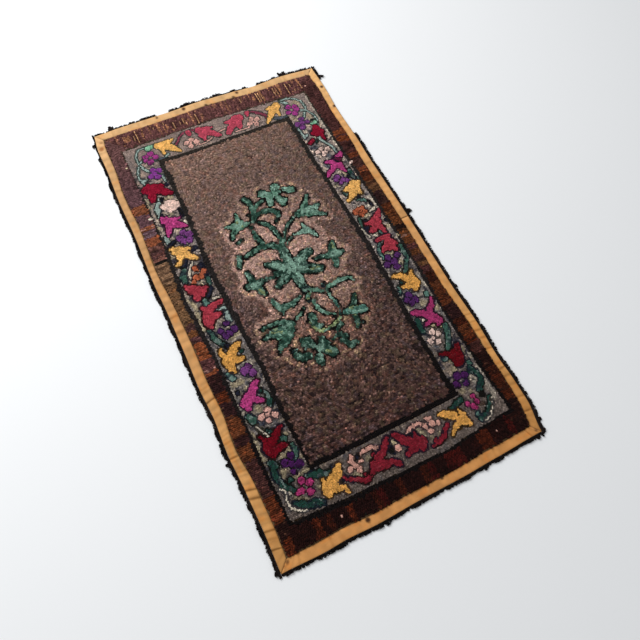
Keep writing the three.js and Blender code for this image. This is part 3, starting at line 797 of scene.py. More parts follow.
STREAKS = [  # single light rows that cross the far band: place, their two ends and strength
    (-235, 560, 575, 0.5), (-227, 550, 592, 1.0), (-175, 575, 590, 0.6), (-145, 580, 590, 0.5),
    (-118, 555, 580, 0.6), (-100, 565, 580, 0.6), (-90, 565, 585, 0.6), (-82, 555, 565, 0.5),
    (-50, 550, 585, 1.0), (55, 570, 580, 0.5), (90, 575, 590, 0.6), (142, 555, 592, 1.0),
    (148, 558, 590, 0.7), (156, 560, 580, 0.6), (196, 560, 592, 0.8), (205, 562, 586, 0.5),
    (238, 550, 592, 1.0), (250, 575, 590, 0.7), (258, 555, 562, 0.5), (268, 552, 560, 0.5),
    (280, 552, 575, 0.6), (292, 555, 562, 0.4),
]
STREAK_HALF = 2.7  # loops this near are pulled into the light row
STREAK_WOOL = dye("#bd8f68")
STREAK_GAP_SHADE = dye("#33191a")  # painted shade in the gaps on both sides of a light row
THIN_STREAK = STREAK_WOOL * np.array([0.95, 0.8, 0.68])
THIN_STREAKS_FROM = 553  # the thin light rows lie further out than this
STRAY_BITS = [  # wool that was hooked past its band: skein, x, y and radius
    ("pale_pink", 288, 253, 5), ("cream", 288, -12, 5), ("cream", -287, 480, 3), ("pale", -286, 300, 4),
    ("rose", -178, -574, 2.2), ("rose", 235, -570, 2.2), ("rose", 292, 562, 3), ("soot", -130, -599, 5),
]
SCRAP_SHINE = [(-480, 0.62), (-200, 0.8), (100, 0.95), (500, 0.9)]  # darker near: soil and painted shade
FIELD_SPREAD = [(-420, 1.9), (-150, 1.6), (150, 1.35), (450, 1.1)]  # how far the field's loops differ
# the black lines darken towards the near end too, partly as painted shade
LINE_WOOL_ALONG = wools_along("-460 #0d0909, 0 #221e1d, 440 #282421, 545 #42362c")

# %% [markdown]
# ## Colour for any place
# Each band has a painter that answers one question for a whole array of places: which wool is hooked here?
# It paints the ground first, then the dark outlines, then the motifs, as a hooker outlines a petal before
# filling it. The painters of the two bands with motifs also say how far the nearest motif is, so that the
# loops can follow its edge and stand a little proud. Soft noise mixes one wool into the next, so the
# numbers after a seed say where its blotches begin and where they are full.

# %% Painting the flower border
LEAF_LINE = [(-400, 4.3), (300, 4.1), (440, 3.0)]  # width of the dark line round a leaf, along the rug
STEM_LINE = [(-400, 3.6), (300, 3.4), (440, 3.0)]
PETAL_LINE = 1.3
LINE_SOFT = 0.9  # half the width over which a line's edge fades
LINE_FROM = -0.5  # a motif's dark line starts this far inside its edge and runs outwards
WOOL_FROM = -0.4  # its own wool fills all that lies deeper than this
HAND_SHAKE = [(-300, 4.2), (300, 3.8), (440, 2.2)]  # loop-to-loop raggedness along the rug
SHAKE_SIZE = 7
HAND_DRIFT = 3.4  # how far a whole outline drifts, in slower blotches
DRIFT_SIZE = 22
PETAL_GROWTH = 1.4  # petals are packed fuller than they were drawn
FLOWER_BED = (-3.4, -1.6)  # where a flower's dark bed begins and is full
GROUND_BREAKS = (-520, -400)  # the ground is nearly plain past 520 mm from the middle, broken within 400
CREAM_GAIN = np.array([1.6, 1.55, 1.4])  # cream scraps: the ground times this, plus the tint
CREAM_TINT = dye("#4a4030") * 0.5
GREEN_SKEINS = ("sea", "teal", "forest")
CLEAN_END = (300, 480)  # the wool is cleaner towards the far end
FADED_LINE = dye("#37463f")  # the dark line's wool at the far end
FADED_LINE_AT = (380, 450)
MOTIF_SPREAD = 0.6  # loops differ less in lightness in a motif than in its ground
GROUND_SPREAD = [(380, 1.5), (460, 0.8)]


def unsteady(u, v):
    """Places as a hand finds them: each drifts by up to 1.7 mm in slow blotches, and by 1 to 2 mm from
    loop to loop, most where the rug is worn."""
    shake = eased(HAND_SHAKE, v)
    du = wobble(u, v, DRIFT_SIZE, 11, HAND_DRIFT) + wobble(u, v, SHAKE_SIZE, 13, shake)
    dv = wobble(u, v, DRIFT_SIZE, 12, HAND_DRIFT) + wobble(u, v, SHAKE_SIZE, 14, shake)
    return u + du, v + dv


def ground(along, across, u, v, uneven):
    """A ground's wool: its table of colours along the rug, times its factors across it, times noise."""
    return eased(along, v) * (eased(across, u) * uneven)[:, None]


def scrap_ground(u, v):
    """The grey ground of the border, hooked from many scraps: blotches a few loops wide of cream, slate and
    near-black wool in the grey, fewer at the two ends."""
    middle = smoothstep(-np.abs(v), *GROUND_BREAKS)
    colour = ground(GREY_ALONG, GREY_ACROSS, u, v, 1 + wobble(u, v, 22, 3, 0.26))
    cream = blotches(u, v, 8, 4, 0.54, 0.76) * (0.1 + 0.9 * middle)
    colour = blend(colour, colour * CREAM_GAIN + CREAM_TINT, cream * 0.85)
    slate = blotches(u, v, 12, 6, 0.62, 0.84) * (0.2 + 0.2 * middle)
    colour = blend(colour, SKEIN["slate"] * 0.85, slate)
    for skein, strokes in GROUND_SCRAPS:
        share = smoothstep(-motif_distance(u, v, strokes), -3.0, 1.0)
        scrap = SKEIN[skein] * eased(SCRAP_SHINE, v)[:, None]
        colour = blend(colour, scrap, share * (0.55 + 0.45 * mottle(u, v, 7, 9)))
    dark = blotches(u, v, 7, 7, 0.58, 0.78) * (0.12 + 0.88 * middle)
    return blend(colour, SKEIN["navy"] * 0.9, dark * 0.85)


def hooked_wool(skein, u, v, petals):
    """A skein as hooked: its dye in blotches of two sizes. Petals darken in places, the dark greens are
    mixed with navy and mint, and any other wool has dark and pale bits, fewer at the cleaner end."""
    wool = SKEIN[skein] * (1 + wobble(u, v, 9, 21, 0.34) + wobble(u, v, 4.5, 22, 0.3))[:, None]
    if petals:
        return blend(wool, wool * 0.35, blotches(u, v, 7, 23, 0.6, 0.88) * 0.75)
    if skein in GREEN_SKEINS:
        wool = blend(wool, SKEIN["mint"] * 0.8, blotches(u, v, 7, 25, 0.64, 0.86) * 0.55)
        return blend(wool, SKEIN["navy"], blotches(u, v, 7, 24, 0.58, 0.82) * 0.75)
    clean = smoothstep(v, *CLEAN_END)
    dark = blotches(u, v, 5, 26, 0.66, 0.86) * (0.5 - 0.4 * clean)
    pale = blotches(u, v, 5, 27, 0.7, 0.9) * (0.5 - 0.3 * clean)
    wool = blend(wool, wool * 0.42, dark)
    return blend(wool, wool * 1.45 + 0.02, pale)


def lay_strokes(colour, u, v, rows, outline, outline_wide, covered, petals):
    """Charted rows over a ground in their order: each motif's dark outline, then its wool. A flower has a
    dark bed, and its petals are outlined one by one. Returns colours and distances to the nearest motif."""
    growth = PETAL_GROWTH if petals else 0
    for skein, strokes in rows:
        rim = blend(outline, SKEIN[skein] * 0.16, 0.35)
        if petals:
            away = motif_distance(u, v, strokes) - growth
            bed = blend(outline, SKEIN[skein] * 0.25, 0.4)
            colour = blend(colour, bed, smoothstep(-away, *FLOWER_BED))
        parts = [[stroke] for stroke in strokes] if petals else [strokes]
        for part in parts:
            away = motif_distance(u, v, part) - growth
            line = smoothstep(-away, -outline_wide - LINE_SOFT, -outline_wide + LINE_SOFT)
            colour = blend(colour, rim, line * (away > LINE_FROM))
            colour = np.where((away < WOOL_FROM)[:, None], hooked_wool(skein, u, v, petals), colour)
            covered = np.minimum(covered, away)
    return colour, covered


def paint_border(u, v, fleck):
    """Colours and motif distances in the grey band: ground, stems, leaves, then flowers."""
    u, v = unsteady(u, v)
    colour = scrap_ground(u, v)
    covered = np.full(u.shape, FAR_OFF)
    line = np.where((mottle(u, v, 34, 5) > 0.5)[:, None], SKEIN["navy"] * 0.8, SKEIN["soot"])
    line = blend(line, FADED_LINE, smoothstep(v, *FADED_LINE_AT) * 0.85)
    stem_wide, leaf_wide = eased(STEM_LINE, v), eased(LEAF_LINE, v)
    layers = ((STEMS, stem_wide, False), (LEAVES, leaf_wide, False), (FLOWERS, PETAL_LINE, True))
    for charts, wide, petals in layers:
        for rows in charts:
            colour, covered = lay_strokes(colour, u, v, rows, line, wide, covered, petals)
    spread = np.where(covered < WOOL_FROM, MOTIF_SPREAD, eased(GROUND_SPREAD, v))
    return colour * (fleck ** spread)[:, None], covered


# %% Painting the field
MEDALLION_HALF = (118, 238)  # the oval inside which the ground is all pale
MEDALLION_CENTRE = 12
MEDALLION_MARGIN = 17  # pale ground hooked round the sprig
OVAL_SCALE = 110  # millimetres for a whole share of the oval's half axes
SPRIG_RIM = (-5.4, -4.2)  # where its dark line begins and is full
TWEED_FLECKS = [(8, 48, "#7c4c3c"), (7, 49, "#5a5058"), (9, 50, "#6a5c44")]  # size, seed, dye
# dark colour for painted shade in the pits between loops, and for a few dark tufts of wool
PIT_SHADE_AND_DARK_WOOL = dye("#1e1416")
MEDALLION_FLECKS = [  # dye, strength, size, seed, and where its blotches begin and are full
    ("#bfa27c", 0.5, 7, 47, 0.62, 0.88), ("#a8644c", 0.3, 6, 56, 0.6, 0.9),
    ("#4b3430", 0.55, (7, 5.5), 57, 0.7, 0.88),
]
SPRIG_SPREAD = 0.8


def paint_sprig(u, v, colour):
    """The sprig over a ground: a dark outline, the deeper greens, then pale veins and shadows, all streaked
    loop by loop."""
    u, v = unsteady(u, v)
    nearest = nearest_motif(SPRIG, u, v)
    rim = smoothstep(-nearest, *SPRIG_RIM) * (0.65 + 0.35 * blotches(u, v, 12, 34, 0.25, 0.5))
    colour = blend(colour, SPRIG_GREENS["soot"], rim)
    streak = wobble(u, v, (5, 8), 31, 1.7) + wobble(u, v, 4.2, 32, 1.1)
    worn = 0.82 + 0.18 * blotches(u, v, 6, 35, 0.15, 0.55)
    for rows, edge, cover in ((SPRIG, 0.5, 1.0), (SPRIG_VEINS, 1.3, worn)):
        for name, strokes in rows:
            away = motif_distance(u, v, strokes)
            lit = blend(SPRIG_GREENS[name], SPRIG_GREENS["mint"], np.clip(streak, 0, 1) * 0.9)
            lit = blend(lit, SPRIG_GREENS["deep"] * 0.7, np.clip(-streak, 0, 1) * 1.2)
            share = smoothstep(-away, -edge, edge) * (nearest < -0.2) * cover
            colour = blend(colour, lit, share)
    return colour, nearest


def tweed_ground(u, v):
    """The field's ground: browns, purples and greys of nearly one value. Each loop differs from the
    next, and more so towards the near end, where painted shade fills the pits between them and partly
    darkens the flecks. A few tufts of dark wool lie in larger blotches."""
    near = smoothstep(-v, -200, 330)
    uneven = 1 + wobble(u, v, 9, 41, 0.34) + wobble(u, v, 60, 42, 0.14)
    colour = ground(FIELD_ALONG, FIELD_ACROSS, u, v, uneven)
    for size, seed, code in TWEED_FLECKS:
        # flecks darker towards the near end, partly as painted shade
        fleck = dye(code) * (1.05 - 0.55 * near)[:, None]
        colour = blend(colour, fleck, blotches(u, v, size, seed, 0.55, 0.85) * (0.34 + 0.16 * near))
    # painted shade in the pits between the loops, more towards the near end
    pit_shade = blotches(u, v, (9, 5.5), 43, 0.62, 0.8) * (0.1 + 0.75 * near)
    tuft = blotches(u, v, 9, 45, 0.86, 0.95) * blotches(u, v, 80, 44, 0.45, 0.7)
    return blend(colour, PIT_SHADE_AND_DARK_WOOL, np.maximum(pit_shade, tuft * 0.8))


def oval_share(u, v, past=(0, 0)):
    """Distance from the medallion's centre in shares of its half axes, or of axes this much longer: 1 on
    the oval."""
    across, lengthwise = MEDALLION_HALF
    return np.hypot(u / (across + past[0]), (v - MEDALLION_CENTRE) / (lengthwise + past[1]))


def paint_field(u, v, fleck):
    """Colours and motif distances in the field: tweed ground, paler medallion, sprig."""
    oval = (oval_share(u, v) - 1) * OVAL_SCALE
    edge = np.minimum(nearest_motif(SPRIG, u, v) - MEDALLION_MARGIN, oval) + wobble(u, v, 22, 45, 9)
    pale = ground(MEDALLION_ALONG, MEDALLION_ACROSS, u, v, 1 + wobble(u, v, 8, 46, 0.26))
    for code, strength, size, seed, low, high in MEDALLION_FLECKS:
        pale = blend(pale, dye(code), strength * blotches(u, v, size, seed, low, high))
    colour = blend(tweed_ground(u, v), pale, smoothstep(-edge, -2, 3))
    colour, nearest = paint_sprig(u, v, colour)
    ragged = wobble(u, v, 11, 58, 5) + wobble(u, v, 5, 63, 4)
    line_depth = depth_inside(FIELD_LINE, u, v, FIELD_LINE_WIDE) + ragged
    colour = np.where((line_depth < 0)[:, None], eased(LINE_WOOL_ALONG, v), colour)
    spread = np.where((nearest < 0) | (line_depth < 0), SPRIG_SPREAD, eased(FIELD_SPREAD, v))
    return colour * (fleck ** spread)[:, None], nearest


# %% Painting the brown border
CROSS_ROWS = (24, 4.6)  # blotches as long as a row and as wide as a loop, across the band
LONG_ROWS = (5.5, 26)  # the same along the rug
LONG_ROWS_FROM = (335, 360)  # where the rows of the far part change over
RUST_GAIN = np.array([1.9, 1.5, 1.2])
SPECK_WOOL = dye("#5c4438")
PALE_ROW_EDGE = (-3.4, -1.6)  # where a pale row begins and is full, from its middle
NEAR_RUN_ON = 14  # how far the near rows run on into their left corner
LINE_SIDES = 276  # past this the black line's width is read from the long sides
STUB_PLACE, STUB_HALF, STUB_END = 168, 4.5, -290  # a short black row across the left border


def batch_at(name, at):
    """Wool of the batch that a side's table gives there, with a sharp change from each batch to the next."""
    starts, wools = zip(*wools_along(BROWN_BATCHES[name], BROWNS.get))
    return np.array(wools)[np.clip(np.searchsorted(starts, at) - 1, 0, len(wools) - 1)]


def rows_of_brown(name, u, v):
    """One side's band: its batches of wool along it, broken into single rows. Rows cross the band, but
    in the faded far part they run along the rug."""
    along, seed = (v, 51) if name in ("left", "right") else (u, 52)
    seed += 10 * (name in ("right", "near"))
    faded = smoothstep(v, *LONG_ROWS_FROM)
    wool = batch_at(name, along + wobble(u, v, 16, seed + 2, 7))
    row = mottle(u, v, CROSS_ROWS, seed) * (1 - faded) + mottle(u, v, LONG_ROWS, seed + 5) * faded
    wool = wool * (0.82 + 0.5 * row + wobble(u, v, 9, seed + 3, 0.3))[:, None]
    wool = blend(wool, BROWNS["coal"], (0.6 - 0.25 * faded) * smoothstep(-row, -0.34, -0.16))
    rust = blotches(u, v, (22, 5), seed + 4, 0.7, 0.9) * (1 - faded)
    wool = blend(wool, wool * RUST_GAIN, rust * 0.6)
    if name != "near":
        speck = blotches(u, v, 6, seed + 6, 0.76, 0.92) * (1 - faded)
        wool = blend(wool, SPECK_WOOL, speck * 0.3)
    # fading, and painted shade towards the near end
    wool = wool * eased(WOOL_FADE_AND_SHADE[name], along)
    for at, skein in PALE_ROWS[name]:
        share = smoothstep(-np.abs(along - at), *PALE_ROW_EDGE) * blotches(u, v, 9, seed + 7, 0.3, 0.7)
        wool = blend(wool, SKEIN[skein] * 0.7, share * 0.7)
    return wool


def paint_brown(u, v, fleck):
    """Colours in the outer border: the nearest side's rows of brown, then what crosses them."""
    past = [s["out"][0] * u + s["out"][1] * v - s["reach"] + wobble(u, v, 18, 60 + k, 12)
            for k, s in enumerate(SIDES.values())]
    past[-1] += NEAR_RUN_ON * (u < 0)
    nearest_side = np.argmax(past, axis=0)
    colour = np.zeros((len(u), 3))
    for k, name in enumerate(SIDES):
        wool = rows_of_brown(name, u, v)
        if name == "far":
            wool = paint_streaks(u, v, wool)
        colour = np.where((nearest_side == k)[:, None], wool, colour)
    stub = (np.abs(v - STUB_PLACE) < STUB_HALF) & (u < STUB_END)
    colour = np.where(stub[:, None], SKEIN["soot"], colour)
    wide = np.where(np.abs(u) > LINE_SIDES, *four_sides(OUTER_LINE_WIDE, u, v))
    ragged = wobble(u, v, 11, 59, 5) + wobble(u, v, 5, 64, 3)
    in_line = depth_inside(GREY_BAND, u, v) > -wide - ragged
    colour = np.where(in_line[:, None], eased(LINE_WOOL_ALONG, v), colour)
    for skein, x, y, radius in STRAY_BITS:
        colour = np.where((np.hypot(u - x, v - y) < radius)[:, None], SKEIN[skein], colour)
    return colour * fleck[:, None]


def streak_at(u, v):
    """For each place: how far it lies from the nearest light row of the far band, and that row's
    strength."""
    aside = np.full(u.shape, FAR_OFF)
    strength = np.zeros(u.shape)
    for place, start, stop, strong in STREAKS:
        offset = u - place - wobble(v, 0 * v, 14, place, 1.6)
        closer = (v > start) & (v < stop) & (np.abs(offset) < np.abs(aside))
        aside = np.where(closer, offset, aside)
        strength = np.where(closer, strong, strength)
    return aside, strength


def paint_streaks(u, v, wool):
    """The far band's light rows: thin broken ones near the edge, then the single ones, each as wide as a
    loop, with painted shade in the gaps on both sides."""
    aside, strength = streak_at(u, v)
    light = (np.abs(aside) < STREAK_HALF) * (0.55 + 0.45 * mottle(u, v, 8, 82))
    shadow = smoothstep(-np.abs(aside), -8.0, -4.0)
    thin = blotches(u, v, (4.0, 22), 83, 0.66, 0.84) * (v > THIN_STREAKS_FROM) * eased(STREAK_CROWD, u)
    wool = blend(wool, THIN_STREAK, thin * 0.62)
    # painted shade in the gaps beside each light row
    wool = blend(wool, STREAK_GAP_SHADE, shadow * 0.7 * strength)
    return blend(wool, STREAK_WOOL, light * (0.35 + 0.65 * strength))


# %% [markdown]
# ## Laying out the loops
# Each loop stands at a point of a staggered lattice, strayed a little so that no row looks ruled. The flower
# border is hooked finest, because its outlines are one loop wide. Where two bands with different loops meet,
# each keeps the loops that fall on its own side of the line.

# %% Lattice
ROW_STEP = 0.866  # rows of equal triangles stand this share of the pitch apart
STRAY = 6  # a point strays by up to its pitch divided by this
PILE_INSET = 2.2  # from the tape's inner edge to the middle of the outermost loops
OFF_TAPE_X = -1.2  # the design is measured on the tape's plane, and the pile stands a little above it
OFF_TAPE_Y = -2.2
OFF_TAPE_SCALE = 0.9964


def staggered(pitch, seed):
    """Lattice over the straight rectangle: rows 0.866 of the pitch apart, every other row half a pitch
    along, and each point strayed by up to a sixth of the pitch."""
    rows = np.arange(-HALF_LENGTH, HALF_LENGTH, pitch * ROW_STEP)
    columns = np.arange(-HALF_WIDTH, HALF_WIDTH, pitch)
    x, y = np.meshgrid(columns, rows)
    x = x + pitch / 2 * (np.arange(len(rows)) % 2)[:, None]
    stray = np.random.default_rng(seed).uniform(-pitch / STRAY, pitch / STRAY, (2, x.size))
    return x.ravel() + stray[0], y.ravel() + stray[1]


def within_pile(x, y):
    """Whether a point of the straight rectangle lies inside the tape's inner edge."""
    room = [
        x + HALF_WIDTH - tape_width("left", y), HALF_WIDTH - tape_width("right", y) - x,
        y + HALF_LENGTH - tape_width("near", x), HALF_LENGTH - tape_width("far", x) - y,
    ]
    return np.min(room, axis=0) > PILE_INSET


def design_place(x, y):
    """Where a place on the rug falls in the design's own measures."""
    return (x - OFF_TAPE_X) / OFF_TAPE_SCALE, (y - OFF_TAPE_Y) / OFF_TAPE_SCALE


def loops_of_band(pitch, seed, keep):
    """Places of a band's loops on the wavy rug and in the design, for the points that keep(u, v) accepts."""
    x, y = staggered(pitch, seed)
    inside = within_pile(x, y)
    x, y = warped(x[inside], y[inside])
    u, v = design_place(x, y)
    kept = keep(u, v)
    return x[kept], y[kept], u[kept], v[kept]


# %% [markdown]
# ## One loop
# A hooked loop is a strand that comes up, turns over and goes down again, so from above it is a small
# loaf, longer along the row. Ten points are enough: four at its foot, four at its shoulders and two along
# its ridge. Smooth shading rounds it. Tens of thousands of them make the pile's real surface, with real
# shadows between.

# %% Loop template
SHOULDER_DROP = 0.42  # the shoulders lie below the ridge by this share of the half width,
SHOULDER_ROUND = 1.3  # times this, because a thick strand is round
CELL_SHARE = 0.36  # how far a loop's points spread over its cell of the colour map
LOOP_FOOT = 2.3  # seated in the burlap
LOOP_POINTS = np.array([  # share of half length, share of half width, level: 0 foot, 1 shoulder, 2 ridge
    (-0.8, -0.72, 0), (0.8, -0.72, 0), (0.8, 0.72, 0), (-0.8, 0.72, 0),
    (-1.00, -0.95, 1), (1.00, -0.95, 1), (1.00, 0.95, 1), (-1.00, 0.95, 1),
    (-0.42, 0.00, 2), (0.42, 0.00, 2),
])
LOOP_QUADS = np.array([
    (3, 2, 1, 0), (0, 1, 5, 4), (1, 2, 6, 5), (2, 3, 7, 6), (3, 0, 4, 7), (4, 5, 9, 8), (6, 7, 8, 9),
])
LOOP_TRIANGLES = np.array([(5, 6, 9), (7, 4, 8)])
LOOP_SHADE = np.array([0.1, 0.78, 1.18])  # painted shade at the feet between loops, painted highlight on crowns


def loop_points(x, y, top, length, width, turn):
    """Points of all the loops: the template stretched to each loop's size, turned to its row and set at its
    place, with the shoulders a little below the ridge."""
    a, b, level = LOOP_POINTS.T
    along = a[None] * length[:, None]
    across = b[None] * width[:, None]
    cos, sin = np.cos(turn)[:, None], np.sin(turn)[:, None]
    shoulder = top[:, None] - SHOULDER_DROP * width[:, None] * SHOULDER_ROUND
    levels = [np.full_like(along, LOOP_FOOT), shoulder + 0 * along, top[:, None] + 0 * along]
    z = np.choose(level.astype(int)[None], levels)
    px = x[:, None] + along * cos - across * sin
    py = y[:, None] + along * sin + across * cos
    return np.stack([px, py, z], axis=-1)


def colour_cells(count):
    """A square of the colour map for each loop, counted along rows: the middle of its cell."""
    per_row = math.ceil(math.sqrt(count))
    k = np.arange(count)
    return np.column_stack([(k % per_row + 0.5) / per_row, (k // per_row + 0.5) / per_row]), 1 / per_row


def pile_piece(name, x, y, top, length, width, turn, colour):
    """All the loops of one piece as one mesh, coloured point by point with painted shade and highlight."""
    count = len(x)
    points = loop_points(x, y, top, length, width, turn)
    start = (np.arange(count) * len(LOOP_POINTS))[:, None, None]
    quads = (LOOP_QUADS[None] + start).reshape(-1, 4)
    triangles = (LOOP_TRIANGLES[None] + start).reshape(-1, 3)
    piece = mesh_object(name, points.reshape(-1, 3), [quads, triangles])
    shade = LOOP_SHADE[LOOP_POINTS[:, 2].astype(int)]
    paint_points(piece, (colour[:, None, :] * shade[None, :, None]).reshape(-1, 3))
    cells, size = colour_cells(count)
    spread = LOOP_POINTS[:, :2] * size * CELL_SHARE
    map_corners(piece, "OFBake", (cells[:, None] + spread[None]).reshape(-1, 2))
    return piece


# %% [markdown]
# ## Wool
# Wool yarn is matt, with a faint bloom where its loose fibres catch the light. The material takes its
# colour from the loop, breaks it with fine noise as carded wool does, and lifts the same noise as bump.
# Tape and edging need the same broken colour, so the noise is a node group with its own inputs.

# %% Broken colour group
WOOL_SHEEN = 0.01
WOOL_RELIEF = 0.0006  # height of the fibres' bump, in metres


def math_node(nodes, operation):
    """A Math node set to one operation."""
    node = nodes.new("ShaderNodeMath")
    node.operation = operation
    return node


def broken_colour_group():
    """Node group: colour times a noise about 1, and the noise as a height. Inputs are the colour, the
    size of the noise per metre and how strongly it shows."""
    group = bpy.data.node_groups.new("broken_colour", "ShaderNodeTree")
    for name, kind in (("Colour", "Color"), ("Vector", "Vector"), ("Scale", "Float"), ("Strength", "Float")):
        group.interface.new_socket(name, in_out="INPUT", socket_type="NodeSocket" + kind)
    for name, kind in (("Colour", "Color"), ("Height", "Float")):
        group.interface.new_socket(name, in_out="OUTPUT", socket_type="NodeSocket" + kind)
    nodes, links = group.nodes, group.links
    given = nodes.new("NodeGroupInput")
    result = nodes.new("NodeGroupOutput")
    noise = nodes.new("ShaderNodeTexNoise")
    noise.inputs["Detail"].default_value = 3.0
    noise.inputs["Roughness"].default_value = 0.65
    links.new(given.outputs["Vector"], noise.inputs["Vector"])
    links.new(given.outputs["Scale"], noise.inputs["Scale"])
    centred = math_node(nodes, "SUBTRACT")
    centred.inputs[1].default_value = 0.5
    links.new(noise.outputs["Fac"], centred.inputs[0])
    factor = math_node(nodes, "MULTIPLY_ADD")
    factor.inputs[2].default_value = 1.0
    links.new(centred.outputs[0], factor.inputs[0])
    links.new(given.outputs["Strength"], factor.inputs[1])
    scaled = nodes.new("ShaderNodeVectorMath")
    scaled.operation = "SCALE"
    links.new(given.outputs["Colour"], scaled.inputs[0])
    links.new(factor.outputs[0], scaled.inputs["Scale"])
    links.new(scaled.outputs[0], result.inputs["Colour"])
    links.new(noise.outputs["Fac"], result.inputs["Height"])
    return group


BROKEN_COLOUR = broken_colour_group()


def cloth_material(name, roughness, sheen, coordinates=None):
    """A matt cloth: Principled with roughness and sheen set on its sockets, and the places that its patterns
    read, from the object or from the piece's own UV map."""
    material = bpy.data.materials.new(name)
    material.use_nodes = True
    nodes, links = material.node_tree.nodes, material.node_tree.links
    shader = nodes["Principled BSDF"]
    shader.inputs["Roughness"].default_value = roughness
    shader.inputs["Specular IOR Level"].default_value = 0.1
    shader.inputs["Sheen Weight"].default_value = sheen
    shader.inputs["Sheen Roughness"].default_value = 0.5
    if coordinates:
        source = nodes.new("ShaderNodeUVMap")
        source.uv_map = coordinates
        return material, nodes, links, shader, source.outputs["UV"]
    return material, nodes, links, shader, nodes.new("ShaderNodeTexCoord").outputs["Object"]


def add_bump(nodes, links, shader, height, distance, strength=1.0):
    """Bump from a height socket, with the height of its relief in metres."""
    bump = nodes.new("ShaderNodeBump")
    bump.inputs["Distance"].default_value = distance
    bump.inputs["Strength"].default_value = strength
    links.new(height, bump.inputs["Height"])
    links.new(bump.outputs["Normal"], shader.inputs["Normal"])


def broken_wool(nodes, links, shader, places, scale, strength):
    """The colour that the mesh carries, broken by the group's noise, as the cloth's colour. Returns the
    height of the noise."""
    colour = nodes.new("ShaderNodeAttribute")
    colour.attribute_name = "wool"
    broken = nodes.new("ShaderNodeGroup")
    broken.node_tree = BROKEN_COLOUR
    broken.inputs["Scale"].default_value = scale
    broken.inputs["Strength"].default_value = strength
    links.new(colour.outputs["Color"], broken.inputs["Colour"])
    links.new(places, broken.inputs["Vector"])
    links.new(broken.outputs["Colour"], shader.inputs["Base Color"])
    return broken.outputs["Height"]


def wave_bands(nodes, links, places, direction, scale, distortion):
    """Threads as a sine wave of the place: which way it runs, how close its bands are and how they waver."""
    wave = nodes.new("ShaderNodeTexWave")
    wave.bands_direction = direction
    wave.inputs["Scale"].default_value = scale
    wave.inputs["Distortion"].default_value = distortion
    links.new(places, wave.inputs["Vector"])
    return wave


def wool_material(name, scale, strength):
    """Wool in the colour that the mesh carries, broken by fibres."""
    material, nodes, links, shader, places = cloth_material(name, 1.0, WOOL_SHEEN)
    height = broken_wool(nodes, links, shader, places, scale, strength)
    add_bump(nodes, links, shader, height, WOOL_RELIEF)
    return material


PILE_MATERIAL = wool_material("looped_wool", 900.0, 0.8)

# %% [markdown]
# ## The pile
# Five meshes hold the loops, because a mesh past 200,000 triangles is thinned when it is exported. Motifs
# stand a little above their ground, as they do when finer wool is packed tighter.

# %% Loops of each band
PILE_TOP = 8.0
PILE_UNEVEN = 0.45
SWELL = (61, 143, 97)  # millimetres for a radian of the slow swell: across, along its slant, along the rug
RIPPLE = (37, 71)
OWN_HEIGHT = (-1.1, 0.5)  # how far a single loop stands below or above the rest
MOTIF_LIFT = 0.7
BROWN_PITCH = 4.9
BORDER_PITCH = 3.45
FIELD_PITCH = 4.8
MEDALLION_PITCH = 3.8
WOOL_GAIN = 1.15  # makes up for the light that is lost between the loops
BROWN_SHARES = (0.6, 0.47)  # half length and half width of a loop, as shares of its pitch
BORDER_SHARES = (0.56, 0.5)
FIELD_SHARES = (0.58, 0.48)
PULLED_WIDTH = 0.62  # a loop pulled into a light row is this much narrower
SLOPE_STEP = 1.5
FINE_PAST_OVAL = (35, 25)  # how far past the medallion's oval the finer loops go
SWIRL = (47, 63, 51)  # millimetres for a radian of the slow turns in the field's rows
FOLLOW_SPRIG = 12  # loops this near the sprig lie along its edge


def jitter(count, seed, spread):
    """Factors about 1, one per loop, with a few strays: e to the power of a small random number."""
    return np.exp(np.random.default_rng(seed).normal(0, spread, count))


def loop_size(count, pitch, shares, seed, spread):
    """Half length and half width of each loop: its share of the pitch, times a factor of its own."""
    half_long, half_wide = shares
    length = half_long * pitch * jitter(count, seed, spread)
    return length, half_wide * pitch * jitter(count, seed + 1, spread)


def pile_wave(x, y):
    """Rise and fall of the pile's top: a slanting sine that comes and goes along the rug, and 0.6 of a
    quicker one across it."""
    swell = np.sin(x / SWELL[0] + y / SWELL[1]) * np.cos(y / SWELL[2])
    return PILE_UNEVEN * (swell + 0.6 * np.sin(x / RIPPLE[0] - y / RIPPLE[1]))


def motif_lift(away):
    """How far a motif stands above its ground, eased in from a millimetre outside its edge."""
    return MOTIF_LIFT * smoothstep(-away, -1, 3)


def heights(x, y, seed, lift=0.0):
    """Tops of the loops: the pile's waves, what a motif lifts, and each loop's own unevenness."""
    own = np.random.default_rng(seed).uniform(*OWN_HEIGHT, len(x))
    return PILE_TOP + pile_wave(x, y) + own + lift


def edge_turn(rows, u, v):
    """Direction of the nearest motif's edge: a quarter turn from the slope of its distance."""
    here = nearest_motif(rows, u, v)
    slope_u = nearest_motif(rows, u + SLOPE_STEP, v) - here
    slope_v = nearest_motif(rows, u, v + SLOPE_STEP) - here
    return np.arctan2(slope_v, slope_u) + math.pi / 2


def swirl(u, v):
    """Slow turns of the field's rows, in radians: a sine across the rug, bent and faded along it."""
    across, bend, fade = SWIRL
    return 1.1 * np.sin(u / across + 1.7 * np.sin(v / bend)) * np.cos(v / fade)


